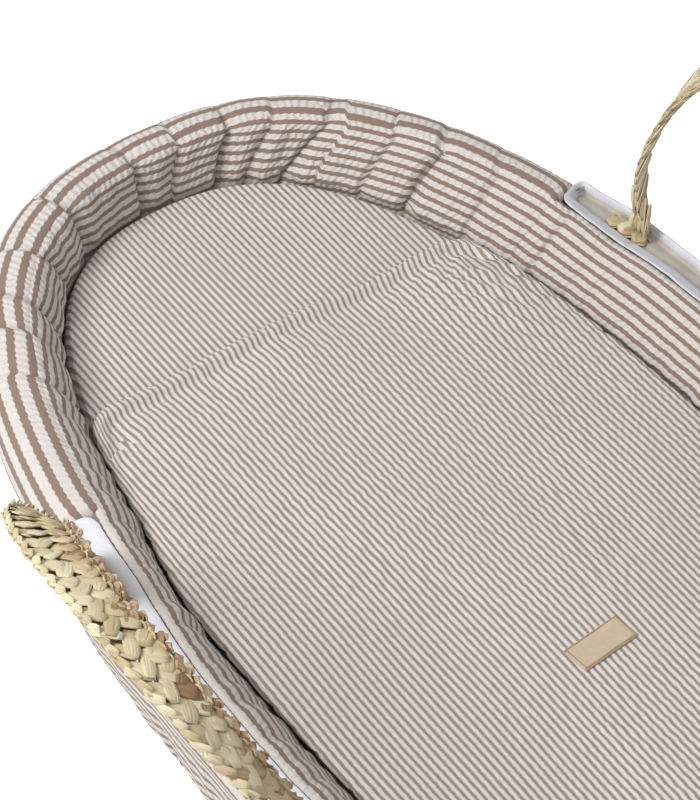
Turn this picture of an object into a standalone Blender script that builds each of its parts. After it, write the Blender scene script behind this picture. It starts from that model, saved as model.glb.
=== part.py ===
"""Moses basket: an oval plaited palm basket with two strap handles and striped cotton bedding.

Metres, +Z up. +X runs from the head of the basket to its foot, and +Y to its far long side. The
origin is on the underside of the base, below the middle of the rim. Most pieces are sections
carried round one outline, the crest of the bumper, so a place in a section is given as an offset
outwards from that outline and a height.
"""

import math

import bmesh
import bpy
import numpy as np
from mathutils import Matrix, Vector

# Rim outline: a superellipse under the crest of the bumper
RIM_HALF_LENGTH = 0.410
RIM_HALF_WIDTH = 0.2075
RIM_POWER = 2.5
RIM_STEPS = 72

# Palm basket
BASE_THICKNESS = 0.0102
BASE_EDGE = -0.0400
WALL_BOTTOM = 0.001
WALL_TOP = 0.146
WALL_THICKNESS = 0.007
WALL_TOP_OFFSET = 0.011
WALL_FLARE = 0.30
PLAIT_ROWS = 4
PLAIT_GROOVE = 0.0012
RIM_BRAID_OFFSET = 0.0075
RIM_BRAID_HEIGHT = 0.1515
RIM_BRAID_RADIUS = 0.0055

# Handles
HINGE_OFFSET = 0.0115
HINGE_HEIGHT = 0.171
STRAP_HALF_THICKNESS = 0.005
STRAP_HALF_WIDTH = 0.0182
STRAP_SHIFT = 0.0035
EDGE_CORD_RADIUS = 0.0029
STRAP_STATIONS = 36
STRAP_CROWDING = 0.55
BULGE_LOWNESS = 3.2
BULGE_EASE = 0.12
HANDLE_SHAPES = {
    "near": {
        "side": -1,
        "centre": 0.018,
        "half_span": 0.136,
        "slot_centre": 0.027,
        "lean": math.radians(26),
        "height": 0.190,
        "power": 2.55,
        "bulge": 0.0,
        "twist": math.radians(49),
        "twist_reach": 0.47,
    },
    "far": {
        "side": 1,
        "centre": -0.024,
        "half_span": 0.152,
        "slot_centre": -0.032,
        "lean": math.radians(4),
        "height": 0.203,
        "power": 2.31,
        "bulge": 0.040,
        "twist": math.radians(62),
        "twist_reach": 0.12,
    },
}

# Handle tails and lashings
TAIL_HALF_WIDTH = 0.0185
TAIL_THICKNESS = 0.006
TAIL_BOTTOM = 0.030
TAIL_TOP = 0.1657
LASHING_HEIGHT = 0.116
LASHING_HALF_HEIGHT = 0.006
LASHING_THICKNESS = 0.0022
TAIL_ROOM_FULL = 0.036
TAIL_ROOM_EASE = 0.028

# Cotton liner
CREST_HEIGHT = 0.173
LINER_FLOOR_TOP = 0.0271
TUCK_SPACING = 0.082
TUCKS_PER_END = 9
TUCK_DEPTH = 0.0045
TUCK_HALF_WIDTH = 0.012
SKIRT_THICKNESS = 0.0028
SLOT_HALF_LENGTH = 0.215
SLOT_EASE = 0.030
BINDING_RADIUS = 0.0016
BINDING_HALF_LENGTH = 0.185
BINDING_TURN = 0.004
BUMPER_LIP_OFFSET = 0.0028
BUMPER_LIP_HEIGHT = 0.1634
HEM_CASING_OFFSET = -0.0108
HEM_CASING_TAIL_OFFSET = -0.0050
HEM_CASING_HEIGHT = 0.0603
HEM_CASING_RADIUS = 0.0024

# Bedding
MATTRESS_HALF_LENGTH = 0.380
MATTRESS_HALF_WIDTH = 0.165
MATTRESS_POWER = 2.45
MATTRESS_SHIFT = -0.0075
MATTRESS_TURN = math.radians(1.2)
MATTRESS_STEPS = 56
SHEET_THICKNESS = 0.0020
SHEET_GAP = 0.0005
DUVET_HEAD_EDGE = -0.2515
DUVET_BOTTOM = 0.1372
DUVET_INSET = 0.004
LABEL_CENTRE = (0.0630, -0.0010)
LABEL_SIZE = (0.0186, 0.0400, 0.0009)
LABEL_TURN = math.radians(6)

# Least gap between two pieces that touch
SEAM = 0.0004


def clear_scene():
    """Remove the objects of the startup scene."""
    for obj in list(bpy.data.objects):
        bpy.data.objects.remove(obj)


def material(name, colour, roughness):
    """A plain Principled material with a linear colour."""
    made = bpy.data.materials.get(name)
    if made is None:
        made = bpy.data.materials.new(name)
        made.use_nodes = True
        shader = made.node_tree.nodes["Principled BSDF"]
        shader.inputs["Base Color"].default_value = (*colour, 1.0)
        shader.inputs["Roughness"].default_value = roughness
        shader.inputs["Metallic"].default_value = 0.0
        made.diffuse_color = (*colour, 1.0)
    return made


def palm(name):
    return material(name, (0.50, 0.41, 0.27), 0.8)


def striped_cotton(name):
    return material(name, (0.56, 0.50, 0.46), 0.95)


def white_cotton(name):
    return material(name, (0.74, 0.74, 0.76), 0.95)


def superellipse(half_length, half_width, power, angle):
    """Point of a superellipse, as x and y."""
    c, s = math.cos(angle), math.sin(angle)
    x = half_length * math.copysign(abs(c) ** (2 / power), c)
    y = half_width * math.copysign(abs(s) ** (2 / power), s)
    return x, y


def even_angles(half_length, half_width, power, steps):
    """Angles of a superellipse whose points lie evenly along it, with one at angle 0."""
    fine = np.linspace(0, 2 * math.pi, 2881)
    points = np.array([superellipse(half_length, half_width, power, angle) for angle in fine])
    along = np.concatenate([[0], np.cumsum(np.linalg.norm(np.diff(points, axis=0), axis=1))])
    return np.interp(np.arange(steps) * along[-1] / steps, along, fine), fine, along


RIM_ANGLES, FINE_ANGLES, FINE_DISTANCES = even_angles(
    RIM_HALF_LENGTH, RIM_HALF_WIDTH, RIM_POWER, RIM_STEPS
)


def ring_point(offset, height, angle):
    """Point at an offset outwards from the rim outline."""
    x, y = superellipse(RIM_HALF_LENGTH + offset, RIM_HALF_WIDTH + offset, RIM_POWER, angle)
    return Vector((x, y, height))


def ring_angle(x, side):
    """Angle of the rim outline at a place along the basket, on its far side (1) or near side (-1)."""
    angle = math.acos(math.copysign(abs(x / RIM_HALF_LENGTH) ** (RIM_POWER / 2), x))
    return side * angle


def distance_from_end(angle):
    """Distance along the rim from the middle of the nearer end, the head or the foot."""
    total = FINE_DISTANCES[-1]
    along = float(np.interp(angle % (2 * math.pi), FINE_ANGLES, FINE_DISTANCES))
    return min(abs(along - total / 2), along, total - along)


def smooth(value):
    """Ease from 0 to 1."""
    value = min(max(value, 0.0), 1.0)
    return value * value * (3 - 2 * value)


def blend(first, second, share):
    """List of pairs between two lists of pairs."""
    return [
        tuple(a + (b - a) * share for a, b in zip(one, other)) for one, other in zip(first, second)
    ]


def shifted(profile, distance):
    """A section line moved to its left by a distance, along the mean normal at each point."""
    points = [Vector(point) for point in profile]
    moved = []
    for index, point in enumerate(points):
        before = points[max(index - 1, 0)]
        after = points[min(index + 1, len(points) - 1)]
        along = (after - before).normalized()
        moved.append((point.x - along.y * distance, point.y + along.x * distance))
    return moved


def skin(bm, rows, closed):
    """Join rows of points into a tube of quads, with the last row joined to the first if closed."""
    rings = [[bm.verts.new(point) for point in row] for row in rows]
    pairs = list(zip(rings, rings[1:] + rings[:1])) if closed else list(zip(rings, rings[1:]))
    for one, other in pairs:
        for index in range(len(one)):
            following = (index + 1) % len(one)
            bm.faces.new((one[index], one[following], other[following], other[index]))
    if not closed:
        bm.faces.new(rings[0])
        bm.faces.new(rings[-1])


def solid(name, rows, look, closed=False):
    """Object made of rows of points: a ring when closed, and otherwise a body with flat ends."""
    bm = bmesh.new()
    skin(bm, rows, closed)
    bmesh.ops.recalc_face_normals(bm, faces=bm.faces)
    mesh = bpy.data.meshes.new(name)
    bm.to_mesh(mesh)
    bm.free()
    mesh.shade_smooth()
    mesh.set_sharp_from_angle(angle=math.radians(40))
    mesh.materials.append(look)
    obj = bpy.data.objects.new(name, mesh)
    bpy.context.collection.objects.link(obj)
    return obj


def swept_ring(name, section_at, look):
    """Ring made by carrying a section round the rim, section_at giving it for each angle."""
    rows = [
        [ring_point(offset, height, angle) for offset, height in section_at(angle)]
        for angle in RIM_ANGLES
    ]
    return solid(name, rows, look, closed=True)


def disc(name, section, look):
    """Flat-ended body whose section runs from the underside, round the edge, to the top."""
    rows = [
        [ring_point(offset, height, angle) for angle in RIM_ANGLES] for offset, height in section
    ]
    return solid(name, rows, look)


def tube(name, points, radius, look, cyclic=False):
    """Round cord through points."""
    curve = bpy.data.curves.new(name, "CURVE")
    curve.dimensions = "3D"
    curve.bevel_depth = radius
    curve.bevel_resolution = 1
    curve.use_fill_caps = True
    spline = curve.splines.new("POLY")
    spline.points.add(len(points) - 1)
    for place, point in zip(spline.points, points):
        place.co = (*point, 1.0)
    spline.use_cyclic_u = cyclic
    spline.use_smooth = True
    curve.materials.append(look)
    obj = bpy.data.objects.new(name, curve)
    bpy.context.collection.objects.link(obj)
    return obj


def hang_on(obj, pivot):
    """Put an object under an empty and leave it where it is."""
    obj.parent = pivot
    obj.matrix_parent_inverse = pivot.matrix_world.inverted()


def pivot_at(name, place):
    """Empty that a moving piece turns or slides on."""
    empty = bpy.data.objects.new(name, None)
    empty.matrix_world = Matrix.Translation(place)
    bpy.context.collection.objects.link(empty)
    return empty


def wall_face(height):
    """Offset of the wall's outer face at a height."""
    return WALL_TOP_OFFSET + (height - WALL_TOP) * WALL_FLARE


def base():
    """Coiled oval base, flat underneath."""
    edge = BASE_EDGE
    section = [
        (edge - 0.0035, 0.0),
        (edge - 0.0008, 0.0015),
        (edge, 0.0050),
        (edge - 0.0008, 0.0087),
        (edge - 0.0035, BASE_THICKNESS),
    ]
    return disc("basket_base", section, palm("base_palm"))


def wall():
    """Wall of plaited rows sewn one above another, each row swelling between its seams."""
    row_height = (WALL_TOP - WALL_BOTTOM) / PLAIT_ROWS
    outer = []
    for row in range(PLAIT_ROWS):
        seam = WALL_BOTTOM + row * row_height
        outer.append((wall_face(seam) - PLAIT_GROOVE, seam))
        outer.append((wall_face(seam + row_height / 2), seam + row_height / 2))
    outer.append((wall_face(WALL_TOP) - PLAIT_GROOVE, WALL_TOP))
    inner = [
        (wall_face(WALL_TOP) - WALL_THICKNESS, WALL_TOP),
        (wall_face(WALL_BOTTOM) - WALL_THICKNESS, WALL_BOTTOM),
    ]
    return swept_ring("basket_wall", lambda angle: outer + inner, palm("wall_palm"))


def rim_braid():
    """Rolled braid that closes the top of the wall."""
    section = [
        (
            RIM_BRAID_OFFSET + RIM_BRAID_RADIUS * math.cos(turn),
            RIM_BRAID_HEIGHT + RIM_BRAID_RADIUS * math.sin(turn),
        )
        for turn in np.arange(6) * math.pi / 3 + math.pi / 6
    ]
    return swept_ring("rim_braid", lambda angle: section, palm("rim_palm"))


def handle_tail(name, x, side):
    """End of a handle strap: it hooks over the rim and runs down outside the wall."""
    outer = SEAM + TAIL_THICKNESS
    section = [
        (0.0045, TAIL_TOP),
        (0.0150, TAIL_TOP),
        (0.0172, TAIL_TOP - 0.0022),
        (0.0176, 0.1560),
        (wall_face(0.140) + outer, 0.140),
        (wall_face(TAIL_BOTTOM) + outer, TAIL_BOTTOM),
        (wall_face(TAIL_BOTTOM) + SEAM, TAIL_BOTTOM),
        (wall_face(0.143) + SEAM, 0.143),
        (0.0135, 0.1475),
        (0.0135, 0.1535),
        (0.0120, 0.1575),
        (0.0045, 0.1575),
    ]
    rows = []
    for share in np.linspace(-1, 1, 5):
        angle = ring_angle(x + share * TAIL_HALF_WIDTH, side)
        rows.append([ring_point(offset, height, angle) for offset, height in section])
    return solid(name, rows, palm("strap_palm"))


def lashing(name, x, side):
    """Palm binding that holds a handle's tail to the wall."""
    reach_in = TAIL_HALF_WIDTH + 0.0012
    reach_out = reach_in + LASHING_THICKNESS
    near_wall = SEAM
    under = TAIL_THICKNESS + 3 * SEAM
    over = under + LASHING_THICKNESS
    plan = [
        (-reach_out, near_wall),
        (-reach_out, over),
        (reach_out, over),
        (reach_out, near_wall),
        (reach_in, near_wall),
        (reach_in, under),
        (-reach_in, under),
        (-reach_in, near_wall),
    ]
    rows = []
    for height in (LASHING_HEIGHT - LASHING_HALF_HEIGHT, LASHING_HEIGHT + LASHING_HALF_HEIGHT):
        rows.append(
            [
                ring_point(wall_face(height) + offset, height, ring_angle(x + along, side))
                for along, offset in plan
            ]
        )
    return solid(name, rows, palm("lashing_palm"))


def hinge_line(shape):
    """Point in the middle of a handle's turning line, which runs along the basket."""
    roots = [
        ring_point(HINGE_OFFSET, HINGE_HEIGHT, ring_angle(shape["centre"] + reach, shape["side"]))
        for reach in (-shape["half_span"], shape["half_span"])
    ]
    return Vector((shape["centre"], (roots[0].y + roots[1].y) / 2, HINGE_HEIGHT))


def strap_line(shape):
    """Middle line of a handle in its own plane, from root to root, and each point's share of it."""
    turn = np.linspace(0, math.pi, 721)
    along = -np.sign(np.cos(turn)) * np.abs(np.cos(turn)) ** (2 / shape["power"])
    up = np.sin(turn).clip(0, 1) ** (2 / shape["power"])
    bow = np.sin(math.pi * (1 - (1 - up) ** BULGE_LOWNESS))
    bow *= [smooth(height / BULGE_EASE) for height in up]
    along = along * shape["half_span"] * (1 + shape["bulge"] * bow)
    points = np.stack([along, up * shape["height"]], axis=1)
    run = np.concatenate([[0], np.cumsum(np.linalg.norm(np.diff(points, axis=0), axis=1))])
    shares = np.linspace(0, 1, STRAP_STATIONS)
    shares = shares - STRAP_CROWDING * np.sin(math.tau * shares) / math.tau
    line = [np.interp(shares * run[-1], run, points[:, k]) for k in (0, 1)]
    return np.stack(line, axis=1), shares


def strap_frames(shape):
    """Stations along a handle: point, and directions across, through and along the strap."""
    middle = hinge_line(shape)
    lean = shape["lean"]
    up = Vector((0.0, shape["side"] * math.sin(lean), math.cos(lean)))
    inward = Vector((0.0, -shape["side"] * math.cos(lean), math.sin(lean)))
    line, shares = strap_line(shape)
    tangents = np.gradient(line, shares, axis=0)
    tangents[0] = (0.0, 1.0)
    tangents[-1] = (0.0, -1.0)
    frames = []
    for point, tangent, share in zip(line, tangents, shares):
        twist = shape["twist"] * smooth(min(share, 1 - share) / shape["twist_reach"])
        tangent = Vector(tangent).normalized()
        in_plane = Vector((1, 0, 0)) * tangent.y - up * tangent.x
        across = in_plane * math.cos(twist) + inward * math.sin(twist)
        forward = Vector((1, 0, 0)) * tangent.x + up * tangent.y
        through = forward.cross(across).normalized()
        place = middle + Vector((1, 0, 0)) * point[0] + up * point[1]
        frames.append((place, across.normalized(), through, forward))
    return frames


def strap_section(place, across, through, half_thickness):
    """Eight points of the strap's rounded section, moved over to leave room for its edge cord."""
    half = STRAP_HALF_WIDTH
    corner = 0.003
    outline = [
        (half, 0.4),
        (half - corner, 1.0),
        (corner - half, 1.0),
        (-half, 0.4),
        (-half, -0.4),
        (corner - half, -1.0),
        (half - corner, -1.0),
        (half, -0.4),
    ]
    return [
        place + across * (side - STRAP_SHIFT) + through * (share * half_thickness)
        for side, share in outline
    ]


def handle(name, shape, pivot):
    """Plaited strap in an arch, with a twisted cord sewn along one edge."""
    frames = strap_frames(shape)
    rows = []
    for end, direction in ((frames[0], -1), (frames[-1], 1)):
        place, across, through, forward = end
        rounding = []
        for turn in (math.radians(78), math.radians(45)):
            reach = direction * math.sin(turn) * STRAP_HALF_THICKNESS
            half = STRAP_HALF_THICKNESS * math.cos(turn)
            rounding.append(strap_section(place + forward * reach, across, through, half))
        rows.append(rounding if direction < 0 else rounding[::-1])
    middle = [strap_section(p, a, t, STRAP_HALF_THICKNESS) for p, a, t, f in frames]
    strap = solid(f"{name}_strap", rows[0] + middle + rows[1], palm("strap_palm"))
    cord_reach = STRAP_HALF_WIDTH - STRAP_SHIFT + SEAM + EDGE_CORD_RADIUS
    cord_points = [p + a * cord_reach for p, a, t, f in frames[1:-1]]
    cord = tube(f"{name}_edge_cord", cord_points, EDGE_CORD_RADIUS, palm("edge_palm"))
    hang_on(strap, pivot)
    hang_on(cord, pivot)


def liner_floor():
    """Padded cloth floor of the liner."""
    top = LINER_FLOOR_TOP
    low = BASE_THICKNESS + SEAM
    section = [
        (-0.0376, low),
        (-0.0360, low + 0.004),
        (-0.0372, top - 0.004),
        (-0.0450, top - 0.0008),
        (-0.0780, top),
    ]
    return disc("liner_floor", section, white_cotton("liner_cotton"))


def tuck(angle):
    """Depth of the tucks in the bumper's inner face, which gather it round both ends."""
    distance = distance_from_end(angle)
    number = round(distance / TUCK_SPACING)
    if number > TUCKS_PER_END // 2:
        return 0.0
    away = abs(distance - number * TUCK_SPACING)
    return TUCK_DEPTH * (1 - smooth(away / TUCK_HALF_WIDTH))


def bumper_row(angle):
    """Section of the padded bumper: a roll at the top, and a leg that hugs the mattress below it."""
    fold = tuck(angle)
    back = [
        (wall_face(0.0340) - WALL_THICKNESS - SEAM, 0.0340),
        (0.0002, 0.1440),
        (0.0015, 0.1530),
        (0.0000, 0.1629),
        (-0.0045, 0.1702),
        (-0.0100, CREST_HEIGHT),
    ]
    roll = [(-0.0150, 0.1702), (-0.0192, 0.1630), (-0.0205, 0.1530)]
    leg = [(-0.0080, 0.1430), (-0.0034, 0.1350), (-0.0030, 0.1000), (0.0045, 0.0550)]
    foot = (0.0095, 0.0340)
    row = [ring_point(offset, height, angle) for offset, height in back]
    row += [ring_point(offset + fold, height, angle) for offset, height in roll]
    row += [bed_point(inset - fold, height, angle) for inset, height in leg + [foot]]
    return row


def handle_beside(angle):
    """Shape of the handle on the same side of the basket as an angle of the rim."""
    return HANDLE_SHAPES["far" if math.sin(angle) > 0 else "near"]


def slot_opening(angle):
    """How far the skirt's upper edge stands off the bumper: 1 beside a handle, 0 round the ends."""
    away = abs(ring_point(0.0, 0.0, angle).x - handle_beside(angle)["slot_centre"])
    return smooth((SLOT_HALF_LENGTH - away) / SLOT_EASE)


def tail_room(angle):
    """How far the skirt stands out: 1 over a handle's tails and between them, 0 round the ends."""
    shape = handle_beside(angle)
    away = abs(ring_point(0.0, 0.0, angle).x - shape["centre"]) - shape["half_span"]
    return smooth((TAIL_ROOM_FULL + TAIL_ROOM_EASE - away) / TAIL_ROOM_EASE)


def skirt_line(angle):
    """Middle of the skirt's cloth, from its upper edge over the rim down to its hem."""
    closed_top = [(0.0035, 0.1690), (0.0120, 0.1660), (0.0188, 0.1595), (0.0215, 0.1480)]
    open_top = [(0.0222, 0.1628), (0.0224, 0.1590), (0.0226, 0.1540), (0.0227, 0.1470)]
    free = [(0.0165, 0.1300), (0.0065, 0.1050), (-0.0030, 0.0800), (-0.0100, 0.0640)]
    over_tail = [(0.0195, 0.1300), (0.0120, 0.1050), (0.0030, 0.0800), (-0.0040, 0.0640)]
    top = blend(closed_top, open_top, slot_opening(angle))
    return top + blend(free, over_tail, tail_room(angle))


def skirt_section(angle):
    line = skirt_line(angle)
    half = SKIRT_THICKNESS / 2
    return shifted(line, half) + shifted(line, -half)[::-1]


def hem_casing():
    """Gathered casing with the elastic that holds the skirt's hem to the basket."""

    def section_at(angle):
        stand_out = HEM_CASING_TAIL_OFFSET - HEM_CASING_OFFSET
        middle = HEM_CASING_OFFSET + stand_out * tail_room(angle)
        return [
            (
                middle + HEM_CASING_RADIUS * math.cos(turn),
                HEM_CASING_HEIGHT + HEM_CASING_RADIUS * math.sin(turn),
            )
            for turn in np.arange(5) * math.tau / 5 + math.pi / 2
        ]

    return swept_ring("skirt_hem_casing", section_at, striped_cotton("skirt_cotton"))


def skirt_lip(x, side):
    """Place on the skirt's upper edge, and the direction in which the cloth ends there."""
    ends = []
    for angle in RIM_ANGLES:
        if math.sin(angle) * side > 0:
            (lip_offset, lip_height), (next_offset, next_height) = skirt_line(angle)[:2]
            lip = ring_point(lip_offset, lip_height, angle)
            ends.append((*lip, *(lip - ring_point(next_offset, next_height, angle))))
    table = np.array(sorted(ends))
    place = [np.interp(x, table[:, 0], table[:, column]) for column in range(1, 6)]
    return Vector((x, *place[:2])), Vector(place[2:]).normalized()


def slot_binding(name, shape):
    """White binding round a handle slot: along the bumper's lip, and back along the skirt's lip."""
    side = shape["side"]
    along_bumper = []
    along_skirt = []
    for x in shape["slot_centre"] + np.linspace(-1, 1, 25) * BINDING_HALF_LENGTH:
        along_bumper.append(ring_point(BUMPER_LIP_OFFSET, BUMPER_LIP_HEIGHT, ring_angle(x, side)))
        lip, beyond = skirt_lip(x, side)
        along_skirt.append(lip + beyond * (BINDING_RADIUS + 2 * SEAM))
    turns = []
    for end, beyond in ((-1, BINDING_TURN), (0, -BINDING_TURN)):
        one, other = along_bumper[end], along_skirt[end]
        bow = Vector((beyond, 0.0, 0.0))
        turns.append([one.lerp(other, share) + bow for share in (0.3, 0.7)])
    points = along_bumper + turns[0] + along_skirt[::-1] + turns[1][::-1]
    return tube(name, points, BINDING_RADIUS, white_cotton("binding_cotton"), cyclic=True)


def bed_point(inset, height, angle):
    """Point at an inset from the outline of the mattress."""
    x, y = superellipse(
        MATTRESS_HALF_LENGTH - inset, MATTRESS_HALF_WIDTH - inset, MATTRESS_POWER, angle
    )
    place = Matrix.Rotation(MATTRESS_TURN, 3, "Z") @ Vector((x, y, height))
    return place + Vector((MATTRESS_SHIFT, 0.0, 0.0))


BED_ANGLES = even_angles(
    MATTRESS_HALF_LENGTH, MATTRESS_HALF_WIDTH, MATTRESS_POWER, MATTRESS_STEPS
)[0]

# Outer face of the made-up mattress, from its underside round the edge to its crown
BED_SECTION = [
    (0.0400, 0.0275),
    (0.0220, 0.0275),
    (0.0130, 0.0305),
    (0.0100, 0.0400),
    (0.0040, 0.0800),
    (0.0005, 0.1190),
    (0.0015, 0.1285),
    (0.0060, 0.1333),
    (0.0140, 0.1353),
    (0.0600, 0.1366),
]


def bed_rows(section):
    return [[bed_point(inset, height, angle) for angle in BED_ANGLES] for inset, height in section]


def mattress_core(pivot):
    """Foam mattress, rounded along its edges and crowned on top."""
    section = shifted(BED_SECTION, -(SHEET_THICKNESS + SHEET_GAP))[1:]
    hang_on(solid("mattress_core", bed_rows(section), white_cotton("mattress_foam")), pivot)


def mattress_sheet(pivot):
    """Fitted sheet: a cloth shell over the mattress, turned under it all round."""
    inner = shifted(BED_SECTION, -SHEET_THICKNESS)
    rows = bed_rows(inner[::-1]) + bed_rows(BED_SECTION)
    hang_on(solid("mattress_sheet", rows, striped_cotton("sheet_cotton")), pivot)


def duvet_outline():
    """Outline of the duvet: the mattress's own, cut straight across below the baby's chest."""
    points = [bed_point(DUVET_INSET, 0.0, angle) for angle in BED_ANGLES]
    kept = [index for index, point in enumerate(points) if point.x > DUVET_HEAD_EDGE]
    last = max(index for index in kept if index < len(points) / 2)
    first = min(index for index in kept if index > len(points) / 2)
    start, end = points[last], points[first]
    for index in range(last, first + 1):
        share = (index - last) / (first - last)
        points[index] = start.lerp(end, share)
        points[index].x = DUVET_HEAD_EDGE
    return points


def duvet_swell(point):
    """Height of the duvet's gentle swells and of the bulge behind its far head corner."""
    along = math.sin(point.x * 21 + 0.6) * math.cos(point.y * 17 - 0.4)
    corner = math.hypot((point.x + 0.215) / 0.05, (point.y - 0.115) / 0.035)
    return 0.0012 * along + 0.0035 * math.exp(-corner * corner)


def duvet(pivot):
    """Thin duvet with a rounded edge."""
    outline = duvet_outline()
    middle = Vector((0.06, 0.0, 0.0))
    section = [
        (0.0120, 0.0000),
        (0.0035, 0.0010),
        (0.0000, 0.0042),
        (0.0035, 0.0076),
        (0.0120, 0.0092),
        (0.0350, 0.0100),
        (0.0700, 0.0104),
        (0.1150, 0.0106),
    ]
    rows = []
    for number, (inset, height) in enumerate(section):
        row = []
        for point in outline:
            arm = point - middle
            place = middle + arm * (1 - inset / arm.length)
            swell = duvet_swell(place) if 3 < number < len(section) - 1 else 0.0
            row.append(Vector((place.x, place.y, DUVET_BOTTOM + height + swell)))
        rows.append(row)
    hang_on(solid("duvet", rows, striped_cotton("duvet_cotton")), pivot)
    return DUVET_BOTTOM + section[-1][1]


def label(top, pivot):
    """Bare cloth label sewn on the duvet."""
    length, width, thickness = LABEL_SIZE
    corners = [(-1, -1), (1, -1), (1, 1), (-1, 1)]
    turn = Matrix.Rotation(LABEL_TURN, 3, "Z")
    rows = []
    for height in (0.0, thickness):
        row = []
        for along, across in corners:
            corner = turn @ Vector((along * length / 2, across * width / 2, 0.0))
            row.append(Vector((*LABEL_CENTRE, top + SEAM + height)) + corner)
        rows.append(row)
    look = material("label_cloth", (0.53, 0.44, 0.32), 0.9)
    hang_on(solid("duvet_label", rows, look), pivot)


def basket():
    """Palm basket with the fixed ends of its handles."""
    base()
    wall()
    rim_braid()
    for side_name, shape in HANDLE_SHAPES.items():
        for end_name, reach in (("head", -shape["half_span"]), ("foot", shape["half_span"])):
            x = shape["centre"] + reach
            handle_tail(f"handle_tail_{side_name}_{end_name}", x, shape["side"])
            lashing(f"tail_lashing_{side_name}_{end_name}", x, shape["side"])


def handles():
    """Two handles, each on its turning line at the rim."""
    for side_name, shape in HANDLE_SHAPES.items():
        pivot = pivot_at(f"handle_{side_name}_pivot", hinge_line(shape))
        handle(f"handle_{side_name}", shape, pivot)


def liner():
    """Cotton liner: floor, bumper, skirt with two handle slots, and hem."""
    liner_floor()
    rows = [bumper_row(angle) for angle in RIM_ANGLES]
    solid("bumper_pad", rows, striped_cotton("bumper_cotton"), closed=True)
    swept_ring("outer_skirt", skirt_section, striped_cotton("skirt_cotton"))
    hem_casing()
    for side_name, shape in HANDLE_SHAPES.items():
        slot_binding(f"slot_binding_{side_name}", shape)


def bedding():
    """Mattress in its fitted sheet, and the duvet that lies on it."""
    mattress_pivot = pivot_at("mattress_pivot", Vector((MATTRESS_SHIFT, 0.0, BED_SECTION[0][1])))
    mattress_core(mattress_pivot)
    mattress_sheet(mattress_pivot)
    duvet_pivot = pivot_at("duvet_pivot", Vector((MATTRESS_SHIFT, 0.0, DUVET_BOTTOM)))
    top = duvet(duvet_pivot)
    label(top, duvet_pivot)


def main():
    clear_scene()
    basket()
    handles()
    liner()
    bedding()


if __name__ == "__main__":
    main()
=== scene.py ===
"""Dressed scene of an oval palm moses basket with plaited handles and striped cotton bedding.

Metres, +Z up. +X runs from the head of the basket to its foot, and +Y to its far long side. Most
pieces are sections carried round the basket's outline, so a place in a section is an offset
outwards from that outline and a height, as in the part's own source.
"""

import logging
import math
from dataclasses import dataclass, field
from enum import Enum

import bmesh
import bpy
import numpy as np
from mathutils import Matrix, Vector


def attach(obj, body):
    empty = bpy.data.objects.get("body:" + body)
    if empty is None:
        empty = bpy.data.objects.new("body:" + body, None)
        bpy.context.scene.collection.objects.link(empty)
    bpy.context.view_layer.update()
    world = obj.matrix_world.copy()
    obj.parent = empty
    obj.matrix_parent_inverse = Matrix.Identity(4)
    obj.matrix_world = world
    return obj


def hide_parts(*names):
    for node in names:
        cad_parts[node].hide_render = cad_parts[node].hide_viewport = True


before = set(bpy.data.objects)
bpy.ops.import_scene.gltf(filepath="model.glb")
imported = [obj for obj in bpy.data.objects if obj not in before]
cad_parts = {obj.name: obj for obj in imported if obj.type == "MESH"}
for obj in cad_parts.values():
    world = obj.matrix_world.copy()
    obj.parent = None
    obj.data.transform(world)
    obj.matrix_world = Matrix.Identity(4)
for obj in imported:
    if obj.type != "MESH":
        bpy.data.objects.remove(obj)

LOG = logging.getLogger("moses_basket")
TAU = math.tau


class Side(Enum):
    """The two long sides of the basket."""

    NEAR = -1
    FAR = 1

    @property
    def word(self) -> str:
        """Word used in the names of this side's pieces."""
        return self.name.lower()


class Body(Enum):
    """Bodies that the pieces ride on."""

    BASKET = "basket"
    HANDLE_NEAR = "handle_near"
    HANDLE_FAR = "handle_far"
    MATTRESS = "mattress"
    DUVET = "duvet"


# ---------------------------------------------------------------- outlines and curves


@dataclass(frozen=True)
class Outline:
    """Superellipse seen from above, with its middle shifted along the basket and turned."""

    half_length: float
    half_width: float
    power: float
    shift: float = 0.0
    turn: float = 0.0

    def place(self, offset: np.ndarray, height: np.ndarray, angle: np.ndarray) -> np.ndarray:
        """Points at an offset outwards from the outline.

        Args:
            offset: Distance outwards.
            height: Height above the floor.
            angle: Angle parameter of the outline.

        Returns:
            Points, with x, y and z along the last axis.
        """
        offset, height, angle = np.broadcast_arrays(offset, height, angle)
        c, s = np.cos(angle), np.sin(angle)
        x = (self.half_length + offset) * np.sign(c) * np.abs(c) ** (2 / self.power)
        y = (self.half_width + offset) * np.sign(s) * np.abs(s) ** (2 / self.power)
        cos_turn, sin_turn = math.cos(self.turn), math.sin(self.turn)
        turned = (x * cos_turn - y * sin_turn + self.shift, x * sin_turn + y * cos_turn)
        return np.stack([*turned, height], axis=-1).astype(float)

    def table(self) -> tuple[np.ndarray, np.ndarray]:
        """Fine angles of the outline, and the distance along it at each."""
        fine = np.linspace(0, TAU, 5761)
        steps = np.diff(self.place(0.0, 0.0, fine), axis=0)
        return fine, np.concatenate([[0], np.cumsum(np.linalg.norm(steps, axis=1))])

    def even_angles(self, steps: int) -> tuple[np.ndarray, np.ndarray]:
        """Angles spaced evenly along the outline.

        Args:
            steps: Number of angles.

        Returns:
            The angles, and the distance along the outline at each.
        """
        fine, along = self.table()
        distances = np.arange(steps) * along[-1] / steps
        return np.interp(distances, along, fine), distances


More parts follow.
